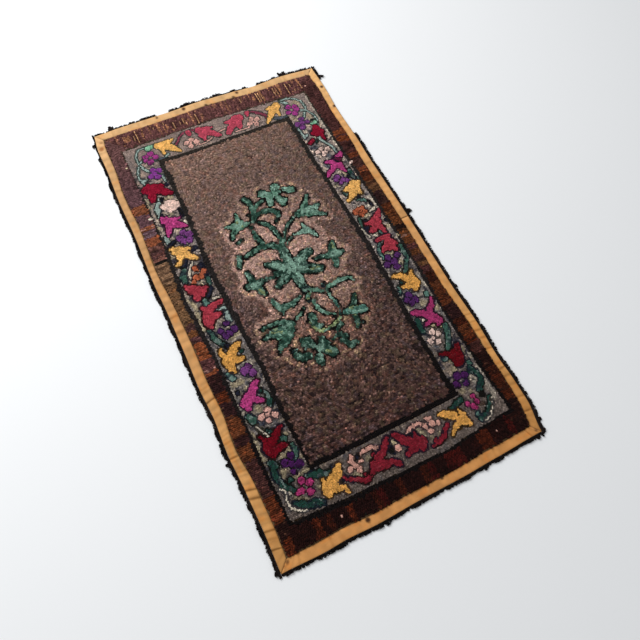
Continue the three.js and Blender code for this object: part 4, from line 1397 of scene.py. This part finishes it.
def outer_border_loops():
    """Loops of the brown border, each lying across the band. Those by a light row are pulled into it."""
    x, y, u, v = loops_of_band(BROWN_PITCH, 101, lambda u, v: depth_inside(GREY_BAND, u, v) < 0)
    fleck = jitter(len(x), 102, 0.26)
    sideways = (HALF_WIDTH - np.abs(x)) < (HALF_LENGTH - np.abs(y))
    turn = np.where(sideways, 0.0, math.pi / 2) + np.random.default_rng(103).normal(0, 0.2, len(x))
    colour = paint_brown(u, v, fleck) * WOOL_GAIN
    length, width = loop_size(len(x), BROWN_PITCH, BROWN_SHARES, 104, 0.08)
    aside, _ = streak_at(u, v)
    pulled = (np.abs(aside) < STREAK_HALF) & ~sideways
    x = np.where(pulled, x - aside, x)
    width = np.where(pulled, width * PULLED_WIDTH, width)
    return x, y, heights(x, y, 106), length, width, turn, colour


def flower_border_loops():
    """Loops of the grey band, which follow the outlines of its motifs."""
    def keep(u, v):
        return (depth_inside(GREY_BAND, u, v) >= 0) & (depth_inside(FIELD_LINE, u, v) < 0)

    x, y, u, v = loops_of_band(BORDER_PITCH, 111, keep)
    fleck = jitter(len(x), 112, 0.22)
    colour, away = paint_border(u, v, fleck)
    turn = edge_turn(BORDER_MOTIFS, u, v)
    length, width = loop_size(len(x), BORDER_PITCH, BORDER_SHARES, 114, 0.06)
    return x, y, heights(x, y, 116, motif_lift(away)), length, width, turn, colour * WOOL_GAIN


def field_loops(pitch, seed, medallion):
    """Loops of the field inside its black line: the medallion's are finer than the ground's."""
    def keep(u, v):
        oval = oval_share(u, v, FINE_PAST_OVAL) < 1
        return (depth_inside(FIELD_LINE, u, v) >= 0) & (oval == medallion)

    x, y, u, v = loops_of_band(pitch, seed, keep)
    fleck = jitter(len(x), seed + 1, 0.25)
    colour, away = paint_field(u, v, fleck)
    turn = swirl(u, v) + np.random.default_rng(seed + 2).normal(0, 0.25, len(x))
    if medallion:
        turn = np.where(away < FOLLOW_SPRIG, edge_turn(SPRIG, u, v), turn)
    length, width = loop_size(len(x), pitch, FIELD_SHARES, seed + 3, 0.08)
    return x, y, heights(x, y, seed + 5, motif_lift(away)), length, width, turn, colour * WOOL_GAIN


# %% Pile pieces
def split_pieces(name, loops):
    """Left and right halves of a band as two pieces."""
    x = loops[0]
    made = []
    for half, chosen in (("left", x < 0), ("right", x >= 0)):
        made.append(pile_piece(f"{name}_{half}", *(values[chosen] for values in loops)))
    return made


pile = [pile_piece("outer_border_pile", *outer_border_loops())]
pile += split_pieces("flower_border_pile", flower_border_loops())
medallion_loops = field_loops(MEDALLION_PITCH, 131, True)
ground_loops = field_loops(FIELD_PITCH, 121, False)
pile += split_pieces("field_pile", [np.concatenate(pair) for pair in zip(ground_loops, medallion_loops)])
for piece in pile:
    piece.data.materials.append(PILE_MATERIAL)

# %% [markdown]
# ## The foundation
# The burlap shows only as a line between the tape and the pile, at the turned edge and on the underside.
# It is a closed flat sheet with the rug's wavy outline. Its weave is two crossed sine waves in bump and in
# colour.

# %% Foundation
FOUNDATION_THICK = 2.4
BURLAP_COLUMNS, BURLAP_ROWS = 29, 53  # points of its grid
BURLAP_THREADS = 140.0
BURLAP_GAPS, BURLAP_YARN = dye("#4a3524"), dye("#a98a60")


def ring_faces(sections, around):
    """Quads that join each section of a closed sweep to the next, and one face at each end."""
    s, k = np.meshgrid(np.arange(sections - 1), np.arange(around), indexing="ij")
    a = s * around + k
    b = s * around + (k + 1) % around
    quads = np.stack([a, b, b + around, a + around], axis=-1).reshape(-1, 4)
    first = np.arange(around)[::-1][None]
    last = (np.arange(around) + (sections - 1) * around)[None]
    return [quads, np.concatenate([first, last])]


def foundation_sheet():
    """The burlap: two grids of points over the rug, at its top and on the floor, joined round the rim."""
    columns, rows = BURLAP_COLUMNS, BURLAP_ROWS
    shares_x = np.linspace(-1, 1, columns)
    shares_y = np.linspace(-1, 1, rows)
    x, y = np.meshgrid(shares_x * HALF_WIDTH, shares_y * HALF_LENGTH)
    x, y = warped(x.ravel(), y.ravel())
    count = len(x)
    points = np.concatenate([np.column_stack([x, y, np.full(count, z)]) for z in (FOUNDATION_THICK, 0.0)])
    j, i = np.meshgrid(np.arange(rows - 1), np.arange(columns - 1), indexing="ij")
    a = (j * columns + i).ravel()
    top = np.column_stack([a, a + 1, a + columns + 1, a + columns])
    under = top[:, ::-1] + count
    near_rim = np.arange(columns - 1)
    right_rim = np.arange(rows - 1) * columns + columns - 1
    far_rim = rows * columns - 1 - np.arange(columns - 1)
    left_rim = (rows - 1 - np.arange(rows - 1)) * columns
    rim = np.concatenate([near_rim, right_rim, far_rim, left_rim])
    following = np.roll(rim, -1)
    wall = np.column_stack([rim, rim + count, following + count, following])
    return mesh_object("burlap_foundation", points, [top, under, wall], smooth=False)


def burlap_material():
    """Plain weave: threads both ways, each a sine wave of the place, darker in the gaps."""
    material, nodes, links, shader, places = cloth_material("burlap", 0.95, 0.05)
    weave = math_node(nodes, "MULTIPLY")
    for k, direction in enumerate(("X", "Y")):
        threads = wave_bands(nodes, links, places, direction, BURLAP_THREADS, 1.2)
        threads.inputs["Detail Scale"].default_value = 0.6
        links.new(threads.outputs["Fac"], weave.inputs[k])
    ramp = nodes.new("ShaderNodeValToRGB")
    for stop, colour in zip(ramp.color_ramp.elements, (BURLAP_GAPS, BURLAP_YARN)):
        stop.color = (*colour, 1)
    links.new(weave.outputs[0], ramp.inputs["Fac"])
    links.new(ramp.outputs["Color"], shader.inputs["Base Color"])
    add_bump(nodes, links, shader, weave.outputs[0], 0.0005)
    return material


foundation = foundation_sheet()
foundation.data.materials.append(burlap_material())

# %% [markdown]
# ## The binding tape
# Rug tape is a cotton twill about an inch wide, sewn down along both edges. It is a thin closed strip whose
# top follows the cross puckers that the sewing pulls into it. Its twill, its stains and a darker outer edge
# are painted on, because a twill rib is under a millimetre. So are painted shade in its folds, its puckers
# and along its inner edge, and painted light on the lit side of each fold and pucker.

# %% Tape shape
TAPE_JOIN = 30.0
GAP = 0.3  # between two pieces
TAPE_THICK = 1.1
TAPE_SET_BACK = 0.5  # from the rug's own edge
TAPES = [
    ("binding_tape_left", "left", None, None), ("binding_tape_right_near", "right", None, TAPE_JOIN),
    ("binding_tape_right_far", "right", TAPE_JOIN, None), ("binding_tape_far", "far", None, None),
    ("binding_tape_near", "near", None, None),
]
TAPE_UNDER = 2.5  # height of its underside
TAPE_ACROSS = np.array([0, 0.03, 0.1, 0.22, 0.36, 0.5, 0.64, 0.78, 0.9, 0.97, 1.0])
PUCKER_HEIGHT = 0.75
CREASE_DEEP = 0.85
EDGE_ROLL = 0.55  # how far the tape turns down at its two edges
TAPE_CREASES = {  # cross folds: place along, half width and depth from 0 to 1
    "left": [(-575, 2.3, 0.74), (-551, 3.4, 0.33), (-534, 2.3, 0.66), (-509, 4.2, 0.29), (-460, 3.6, 0.53),
             (-440, 2.5, 0.61), (-396, 3.4, 0.41), (-361, 2.6, 0.7), (-325, 3.4, 0.41), (-306, 3.1, 0.29),
             (-219, 2.5, 0.66), (-186, 3.4, 0.33), (-30, 4.2, 0.25), (12, 4.2, 0.25), (150, 4.2, 0.16),
             (420, 3.8, 0.16)],
    "right": [(-565, 2.5, 0.53), (-528, 2.5, 0.41), (-494, 3.4, 0.29), (-470, 3.6, 0.29), (-449, 2.3, 0.78),
              (-391, 2.7, 0.53), (-360, 3.6, 0.25), (-338, 3.1, 0.41), (-313, 3.1, 0.37), (-291, 2.9, 0.45),
              (-120, 4.2, 0.16), (30, 1.4, 0.94), (230, 4.2, 0.16), (400, 3.8, 0.2)],
    "far": [(-292, 3.8, 0.2), (-214, 4.2, 0.16), (-40, 4.2, 0.12), (130, 3.8, 0.12), (246, 3.8, 0.2)],
    "near": [(-300, 3.0, 0.16), (-221, 2.9, 0.18), (-130, 2.9, 0.12), (25, 2.9, 0.12), (158, 3.0, 0.12),
             (207, 3.8, 0.12), (315, 2.6, 0.33)],
}
TAPE_LEANS = {  # how far a section runs along the side for each mm inwards, at places along
    "left": [(-590, -0.45), (-534, -0.15), (-440, -0.25), (-361, 0.0), (-306, 0.2), (-219, 0.25),
             (-120, 0.0)],
    "right": [(-590, 0.1), (-528, 0.15), (-494, 0.2), (-449, -0.1), (-391, 0.2), (-291, 0.15), (-150, 0.25),
              (0, 0.0), (40, 0.0)],
    "far": [(-343, 0.0), (343, 0.0)],
    "near": [(-343, 0.0), (343, 0.0)],
}
# strength of the painted light on the puckers' ridges and painted shade in their hollows
PUCKER_SHADE = {"left": 0.34, "right": 0.26, "far": 0.1, "near": 0.1}
MITRE_RUN = 60.0
SECTION_STEP = 5
CREASE_STEPS = np.array([-3, -2, -1.1, -0.4, 0.4, 1.1, 2, 3])  # sections by a fold, in its half widths
MARK_STEPS = np.linspace(-1.1, 1.1, 7)  # sections over a mark, in its radii
SECTION_ROOM = 0.35  # the least space between two sections
TAPE_MIDDLE = 12  # a section leans about this depth from the outer edge
TAPE_MARKS = {  # along, depth, radius, colour, strength
    "left": [(570, 11, 10.0, "#8f5220", 0.8), (418, 21, 6.8, "#2a1a14", 0.9),
             (592, 15, 7.0, "#7c5230", 0.5), (-255, 8, 9.0, "#b37a42", 0.4)],
    "right": [(540, 9, 7.4, "#3a1c10", 0.95), (458, 4, 6.8, "#3a1c10", 0.95),
              (-450, 12, 8.0, "#a8733c", 0.5), (-150, 10, 9.0, "#b07c44", 0.4)],
    "far": [(-157, 8, 5.4, "#4a2410", 0.85), (-74, 8, 8.1, "#43200e", 0.95), (93, 8, 6.8, "#43200e", 0.95),
            (-8, 21, 6.8, "#3a2418", 0.85), (77, 21, 6.8, "#3a2418", 0.8), (333, 14, 8.1, "#3a2418", 0.85)],
    "near": [(25, 21, 6.1, "#2a1a14", 0.85), (63, 20, 6.1, "#2a1a14", 0.85),
             (-131, 17, 8.1, "#2a1610", 0.95), (331, 9, 6.1, "#241714", 0.8),
             (-322, 16, 6.8, "#4a2c18", 0.7), (-332, 12, 5.4, "#4a2c18", 0.7)],
}


def pucker(side, along):
    """Height of the cross puckers, 0 to 1: sharp ridges whose spacing drifts along the side."""
    shift = SIDES[side]["shift"]
    ridge = np.abs(np.sin(along / 6.5 + 2.2 * np.sin(along / 97 + shift)))
    return ridge * (0.35 + 0.65 * mottle(along, 0 * along, 60, 90 + shift))


def creased(side, along):
    """How deep a cross fold lies there, 0 to 1: the sum of one bell curve per fold."""
    return sum(deep * np.exp(-((along - at) / wide) ** 2) for at, wide, deep in TAPE_CREASES[side])


def tape_sections(side, low, high):
    """Places of the sections along a tape: every 5 mm, and closer about its folds and marks."""
    places = [np.linspace(low, high, int((high - low) / SECTION_STEP))]
    places += [at + wide * CREASE_STEPS for at, wide, _ in TAPE_CREASES[side]]
    places += [at + radius * MARK_STEPS for at, _, radius, _, _ in TAPE_MARKS[side]]
    places = np.sort(np.concatenate(places))
    places = places[(places > low + 0.4) & (places < high - 0.4)]
    places = places[np.concatenate([[True], np.diff(places) > SECTION_ROOM])]
    return np.concatenate([[low], places, [high]])


def tape_top(side, place, along, depth):
    """Height of a tape's top: its thickness, bulged up by the puckers and down by the folds in the middle,
    rolled down at both edges, and a little uneven all over."""
    belly = np.sin(np.pi * TAPE_ACROSS) ** 0.7
    roll = EDGE_ROLL * (smoothstep(TAPE_ACROSS, 0.9, 1.0) + smoothstep(-TAPE_ACROSS, -0.08, 0.0))
    crest = PUCKER_HEIGHT * pucker(side, place) - CREASE_DEEP * creased(side, place)
    fine = wobble(along, depth, 9, 97, 0.25)
    return TAPE_UNDER + TAPE_THICK - roll[None] + crest[:, None] * belly[None] + fine


def tape_points(side, start, stop):
    """Sections of a tape: its top from the outer edge inwards, then its underside. Each leans as its folds
    do, and an end at a corner is mitred. Also each point's place along, its depth and its section."""
    half = SIDES[side]["half"]
    low = -half if start is None else start + GAP / 2
    high = half if stop is None else stop - GAP / 2
    place = tape_sections(side, low, high)
    width = tape_width(side, place)
    ragged = wobble(place, 0 * place, 7, 95, 0.5)
    across = np.concatenate([TAPE_ACROSS, [0.9, 0.1]])
    depth = TAPE_SET_BACK + across[None] * (width - TAPE_SET_BACK + ragged)[:, None]
    cut = smoothstep(np.abs(place), half - MITRE_RUN, half)
    lean = (1 - cut) * np.interp(place, *zip(*TAPE_LEANS[side]))
    mitred = (np.sign(place) * cut)[:, None] * (depth + GAP)
    along = place[:, None] + lean[:, None] * (depth - TAPE_MIDDLE) - mitred
    x, y = beside(side, along.ravel(), -depth.ravel())
    on_top = len(TAPE_ACROSS)
    top = tape_top(side, place, along[:, :on_top], depth[:, :on_top])
    z = np.concatenate([top, np.full((len(place), 2), TAPE_UNDER)], axis=1)
    points = np.stack([x.reshape(z.shape), y.reshape(z.shape), z], axis=-1)
    places = np.stack([along, depth, np.broadcast_to(place[:, None], depth.shape)], axis=-1)
    return points, places


# %% Tape colours
FOLD_DARK = 0.8  # light that a fold takes away, and that its lit side gains
FOLD_LIT = 0.26
LIT_SIDE = 4.4  # how far along from a fold its lit side lies
FOLD_WARMTH = np.array([0.0, 0.5, 1.3])  # a fold's painted shade takes more green and blue than red
ORANGE_STAIN = np.array([1.06, 0.93, 0.78])
# painted shade along the tape's inner edge, beside the taller pile
INNER_EDGE_SHADE = dye("#5a3a22")
TWILL_RIBS = 170.0
# colour along each side, darker near: partly the cloth's own, partly painted shade for the weaker light
TAPE_ALONG = {
    "left": wools_along("-620 #ba864d, -300 #c49159, 0 #c08e5b, 300 #bc8f5f, 620 #caa070"),
    "right": wools_along("-620 #b98247, -300 #cc9558, 0 #cd975f, 300 #cf9a61, 620 #dcac72"),
    "far": wools_along("-340 #cba170, 340 #cda372"),
    "near": wools_along("-340 #c68c51, 0 #c4894f, 340 #c5894d"),
}


def tape_colours(side, places):
    """Faded gold in blotches, darker along the outer edge, with a few marks. Painted shade lies along its
    inner edge beside the pile, in the puckers' hollows and in the folds, and painted light on the puckers'
    ridges and the lit side of each fold."""
    along, depth, place = np.moveaxis(places, -1, 0).reshape(3, -1)
    fold = creased(side, place)
    soil_and_painted_shade = 1 + wobble(along, depth, (16, 12), 98, 0.3) + wobble(along, depth, 5, 99, 0.14)
    soil_and_painted_shade -= 0.12 * smoothstep(-depth, -4, 0.5)
    # painted light on the puckers' ridges and painted shade in their hollows
    soil_and_painted_shade += PUCKER_SHADE[side] * (pucker(side, place) - 0.4)
    # painted shade in each fold, and painted light on its lit side
    soil_and_painted_shade -= FOLD_DARK * fold - FOLD_LIT * creased(side, place + LIT_SIDE)
    fold_shade_tint = 1 - 0.35 * fold[:, None] * FOLD_WARMTH
    colour = eased(TAPE_ALONG[side], along) * np.maximum(soil_and_painted_shade, 0.2)[:, None] * fold_shade_tint
    colour = blend(colour, colour * ORANGE_STAIN, blotches(along, depth, (14, 10), 100, 0.6, 0.9))
    inner = tape_width(side, along) - depth + wobble(along, depth, 6, 101, 1.5)
    # painted shade along the inner edge, beside the pile
    colour = blend(colour, INNER_EDGE_SHADE, 0.55 * smoothstep(-inner, -2.8, 0.0))
    for at, inwards, radius, code, strength in TAPE_MARKS[side]:
        share = strength * smoothstep(-np.hypot(along - at, depth - inwards), -radius, -radius * 0.4)
        colour = blend(colour, dye(code), share)
    return colour


def twill_material():
    """Cotton twill: slanting ribs of the tape's own map in bump, broken colour on top."""
    material, nodes, links, shader, places = cloth_material("gold_twill", 0.86, 0.06, "along_tape")
    broken_wool(nodes, links, shader, places, 1400.0, 0.35)
    ribs = wave_bands(nodes, links, places, "DIAGONAL", TWILL_RIBS, 0.6)
    add_bump(nodes, links, shader, ribs.outputs["Fac"], 0.0003, 0.7)
    return material


TWILL = twill_material()


def tape_piece(name, side, start, stop):
    """One length of tape with its map, its colours and its twill."""
    points, places = tape_points(side, start, stop)
    sections, around = points.shape[:2]
    piece = mesh_object(name + "_cloth", points.reshape(-1, 3), ring_faces(sections, around))
    paint_points(piece, tape_colours(side, places))
    map_corners(piece, "along_tape", places[..., :2].reshape(-1, 2) * MM)
    piece.data.materials.append(TWILL)
    return piece


tapes = {name: tape_piece(name, side, start, stop) for name, side, start, stop in TAPES}

# %% [markdown]
# ## The black edging
# Outside the tape the rug ends in a ragged row of black wool loops. A lumpy core fills the middle of the
# row, and hundreds of small bent tubes stand out of it, long and short, as the loops do. Short tables say
# where it is thick and where it is worn away.

# %% Edging tables
EDGING_CLEAR = 0.7  # between the tape and the edging
EDGING_BARE = 2.2  # how far the turned edge stands out where the loops are gone
LONG_END = HALF_LENGTH + 7
SHORT_END = HALF_WIDTH - GAP
EDGINGS = [
    ("black_edging_left", "left", -LONG_END, LONG_END), ("black_edging_right", "right", -LONG_END, 348),
    ("black_edging_right_corner", "right", 570, LONG_END),
    ("black_edging_far_left", "far", -SHORT_END, -153),
    ("black_edging_far_middle", "far", -121, 133), ("black_edging_far_right", "far", 157, SHORT_END),
    ("black_edging_near", "near", -SHORT_END, SHORT_END),
]
EDGING_RUNS = {  # from, to and reach past the tape
    "left": [(-632, -330, 9.5), (-345, 120, 9), (105, 460, 8), (445, 545, 7), (545, 584, 3.5),
             (584, 600, 7.5), (598, 632, 4.5)],
    "right": [(-632, -592, 10), (-600, -250, 9), (-270, 345, 8.5), (574, 632, 7.5)],
    "far": [(-343, -316, 4.5), (-299, -283, 13), (-279, -271, 6), (-267, -259, 6), (-254, -246, 6),
            (-240, -220, 7), (-217, -211, 5), (-207, -154, 6.5), (-118, -88, 7), (-80, -33, 8.5),
            (-12, 10, 6.5), (16, 50, 8), (57, 63, 5), (78, 94, 7.5), (110, 127, 6), (157, 170, 7),
            (173, 187, 6), (210, 224, 6), (236, 257, 13), (262, 327, 8), (334, 343, 6)],
    "near": [(-343, -250, 7), (-265, 130, 8), (110, 343, 7.5)],
}
STRAY_TUFTS = {  # place, length past the tape, slant along the side
    "left": [(592, 12, -5), (-372, 14, 3), (-612, 13, -6)],
    "right": [(588, 19, -8), (52, 18, -7), (38, 20, 5), (-206, 13, -4), (-598, 15, 4), (-620, 13, 2)],
    "far": [(-291, 17, -4), (240, 17, -3), (249, 16, 5)],
    "near": [(-96, 13, 4), (176, 12, -5), (336, 12, 3), (330, 13, -4)],
}


def edging_reach(side, along):
    """How far the edging stands out past the tape: the longest run that covers the place, tapered at its
    ends and lumpy, or the bare turned edge."""
    shift = SIDES[side]["shift"]
    lump = 0.9 * np.sin(along / 7.3 + shift) + 0.7 * np.sin(along / 17.1 + 2 * shift)
    reach = np.full(along.shape, EDGING_BARE)
    for start, stop, long in EDGING_RUNS[side]:
        inside = np.minimum(along - start, stop - along)
        reach = np.maximum(reach, smoothstep(inside, -3.5, 3.5) * (long + lump))
    return reach


# %% Edging shape
CORE_AROUND = 6
CORE_STEP = 3.2
CORE_SHARE = 0.7  # the core is as wide as this share of the reach
CORE_INNER = EDGING_CLEAR * 0.3  # its inner edge, past the tape


def edging_core(side, start, stop):
    """Lumpy strip on the floor: an oval section as wide as most of the reach, roughened point by point."""
    count = int((stop - start) / CORE_STEP)
    along = np.linspace(start, stop, count)
    reach = edging_reach(side, along) * CORE_SHARE
    rise = 0.8 + 0.3 * reach
    angle = np.linspace(0, 2 * np.pi, CORE_AROUND, endpoint=False)
    along_grid, angle_grid = np.meshgrid(along, angle, indexing="ij")
    rough = 1 + wobble(along_grid, 3.1 * angle_grid, 2.3, 141, 0.5)
    middle = (CORE_INNER + reach[:, None]) / 2
    out = middle + (reach[:, None] - CORE_INNER) / 2 * np.cos(angle) * rough
    z = np.maximum(rise[:, None] * (0.5 + 0.5 * np.sin(angle) * rough), 0.0)
    x, y = beside(side, along_grid.ravel(), out.ravel())
    return np.column_stack([x, y, z.ravel()]), ring_faces(count, CORE_AROUND)


TUBE_STEPS = 6
TUBE_AROUND = 3
LOOP_EVERY = 1.3  # a loop for each of these millimetres, some rooted at the tape and some further out
TUFT_LOOPS = 7
FOOT_HEIGHT = 1.2
LOOP_RISE = (0.5, 3.9)  # how far a loop's top stands above its feet
LOOP_FEET = (1.6, 3.6)  # how far apart its feet stand
YARN_RADIUS = (0.75, 1.1)
NEARLY_UP = np.array([0.13, 0.21, 0.97])  # along no line of yarn, so that every section has a direction


def yarn_tubes(lines, radius):
    """Closed tubes about many lines at once: lines has shape (tubes, steps, 3), and at each step a triangle
    of the given radius stands across the line."""
    ahead = np.gradient(lines, axis=1)
    ahead /= np.linalg.norm(ahead, axis=2, keepdims=True) + 1e-9
    aside = np.cross(ahead, NEARLY_UP)
    aside /= np.linalg.norm(aside, axis=2, keepdims=True) + 1e-9
    above = np.cross(aside, ahead)
    angle = np.linspace(0, 2 * np.pi, TUBE_AROUND, endpoint=False)
    ring = aside[:, :, None] * np.cos(angle)[:, None] + above[:, :, None] * np.sin(angle)[:, None]
    points = lines[:, :, None] + ring * radius[:, :, None, None]
    tubes, steps = lines.shape[:2]
    quads, caps = ring_faces(steps, TUBE_AROUND)
    start = (np.arange(tubes) * steps * TUBE_AROUND)[:, None, None]
    faces = [(quads[None] + start).reshape(-1, 4), (caps[None] + start).reshape(-1, 3)]
    return points.reshape(-1, 3), faces


def loop_roots(rng, side, start, stop):
    """Place, length, root and slant of each loop: evenly strewn ones that follow the reach, then a handful
    for each stray tuft."""
    count = int((stop - start) / LOOP_EVERY)
    along = rng.uniform(start + 3, stop - 3, count)
    reach = edging_reach(side, along)
    length = reach * rng.uniform(0.75, 1.12, count)
    root = 0.4 + 0.5 * reach * rng.uniform(0, 1, count) ** 2
    loops = [along, length, root, rng.normal(0, 1.6, count)]
    for at, long, lean in STRAY_TUFTS[side]:
        if start < at < stop:
            tuft = [at + rng.uniform(-3, 3, TUFT_LOOPS), long * rng.uniform(0.8, 1.02, TUFT_LOOPS),
                    np.full(TUFT_LOOPS, 0.4), lean + rng.normal(0, 1.5, TUFT_LOOPS)]
            loops = [np.concatenate(pair) for pair in zip(loops, tuft)]
    return [values[:, None] for values in loops]


def edging_loops(side, start, stop, seed):
    """Loops of yarn out of the edging. Seen along the floor each is a blunt arch: its two feet stand a
    few millimetres apart, and it reaches out as the square root of a half sine."""
    rng = np.random.default_rng(seed)
    along, length, root, slant = loop_roots(rng, side, start, stop)
    share = np.linspace(0, 1, TUBE_STEPS)[None]
    bow = np.sqrt(np.clip(np.sin(np.pi * share), 0, 1))
    cosine = np.cos(np.pi * share)
    apart = np.sign(cosine) * np.sqrt(np.abs(cosine))
    width = rng.uniform(*LOOP_FEET, along.shape)
    place = along + slant * bow - width / 2 * apart
    out = root + (length - root) * bow
    droop = 1 - 0.35 * out / np.maximum(length, 1)
    rise = FOOT_HEIGHT + rng.uniform(*LOOP_RISE, along.shape) * bow * droop
    x, y = beside(side, place.ravel(), out.ravel())
    lines = np.stack([x.reshape(place.shape), y.reshape(place.shape), rise], axis=-1)
    radius = rng.uniform(*YARN_RADIUS, along.shape) * (0.8 + 0.2 * bow)
    return yarn_tubes(lines, radius)


def joined(parts):
    """Several (points, faces) as one."""
    points, quads, others = [], [], []
    start = 0
    for more, faces in parts:
        points.append(more)
        for corners in faces:
            (quads if corners.shape[1] == 4 else others).append(corners + start)
        start += len(more)
    return np.concatenate(points), [np.concatenate(quads), *others]


BLACK_MATERIAL = wool_material("black_wool", 700.0, 0.9)
COOL_BLACK, WARM_BLACK = dye("#0e0c0e"), dye("#221a17")
NEAR_SHADE = 0.45  # the near end's black is darker, partly as painted shade for the weaker light there
FIRST_SEED = 200


def edging_piece(name, side, start, stop, seed):
    """One length of edging: its core and its loops in one mesh."""
    points, faces = joined([edging_core(side, start, stop), edging_loops(side, start, stop, seed)])
    points[:, 2] = np.maximum(points[:, 2], 0.0)
    piece = mesh_object(name + "_loops", points, faces)
    x, y = points[:, 0], points[:, 1]
    tone = 0.6 + 0.8 * mottle(x, y, 5, 151)
    tint = blend(COOL_BLACK, WARM_BLACK, mottle(x, y, 38, 152))
    tint = tint * (NEAR_SHADE if side == "near" else 1.0)
    paint_points(piece, tint * tone[:, None])
    piece.data.materials.append(BLACK_MATERIAL)
    return piece


edgings = {}
for k, (name, side, start, stop) in enumerate(EDGINGS):
    edgings[name] = edging_piece(name, side, start, stop, FIRST_SEED + k)

# %% [markdown]
# ## Floor
# A pale seamless floor, a hair below the rug so that the two faces never flicker.

# %% Floor
FLOOR_HALF = 9000.0
FLOOR_DROP = 0.3
FLOOR_COLOUR = (0.86, 0.87, 0.88, 1)
floor_corners = ((-1, -1), (1, -1), (1, 1), (-1, 1))
floor_points = np.array([(i * FLOOR_HALF, j * FLOOR_HALF, -FLOOR_DROP) for i, j in floor_corners])
floor = mesh_object("floor", floor_points, [np.array([(0, 1, 2, 3)])], smooth=False, closed=False)
floor_paint = bpy.data.materials.new("pale_floor")
floor_paint.use_nodes = True
floor_shader = floor_paint.node_tree.nodes["Principled BSDF"]
floor_shader.inputs["Base Color"].default_value = FLOOR_COLOUR
floor_shader.inputs["Roughness"].default_value = 0.7
floor_shader.inputs["Specular IOR Level"].default_value = 0.2
floor.data.materials.append(floor_paint)

# %% [markdown]
# ## Fitting the pieces to the frame
# Every piece lies still on the one body. The burlap with its pile stands for the hooked panel, and each
# tape and length of edging stands for its own solid.

# %% Ride and replace
for piece in [foundation, *pile, *tapes.values(), *edgings.values()]:
    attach(piece, "root")
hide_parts("hooked_panel")
for name, piece in tapes.items():
    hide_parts(name)
for name, piece in edgings.items():
    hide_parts(name)
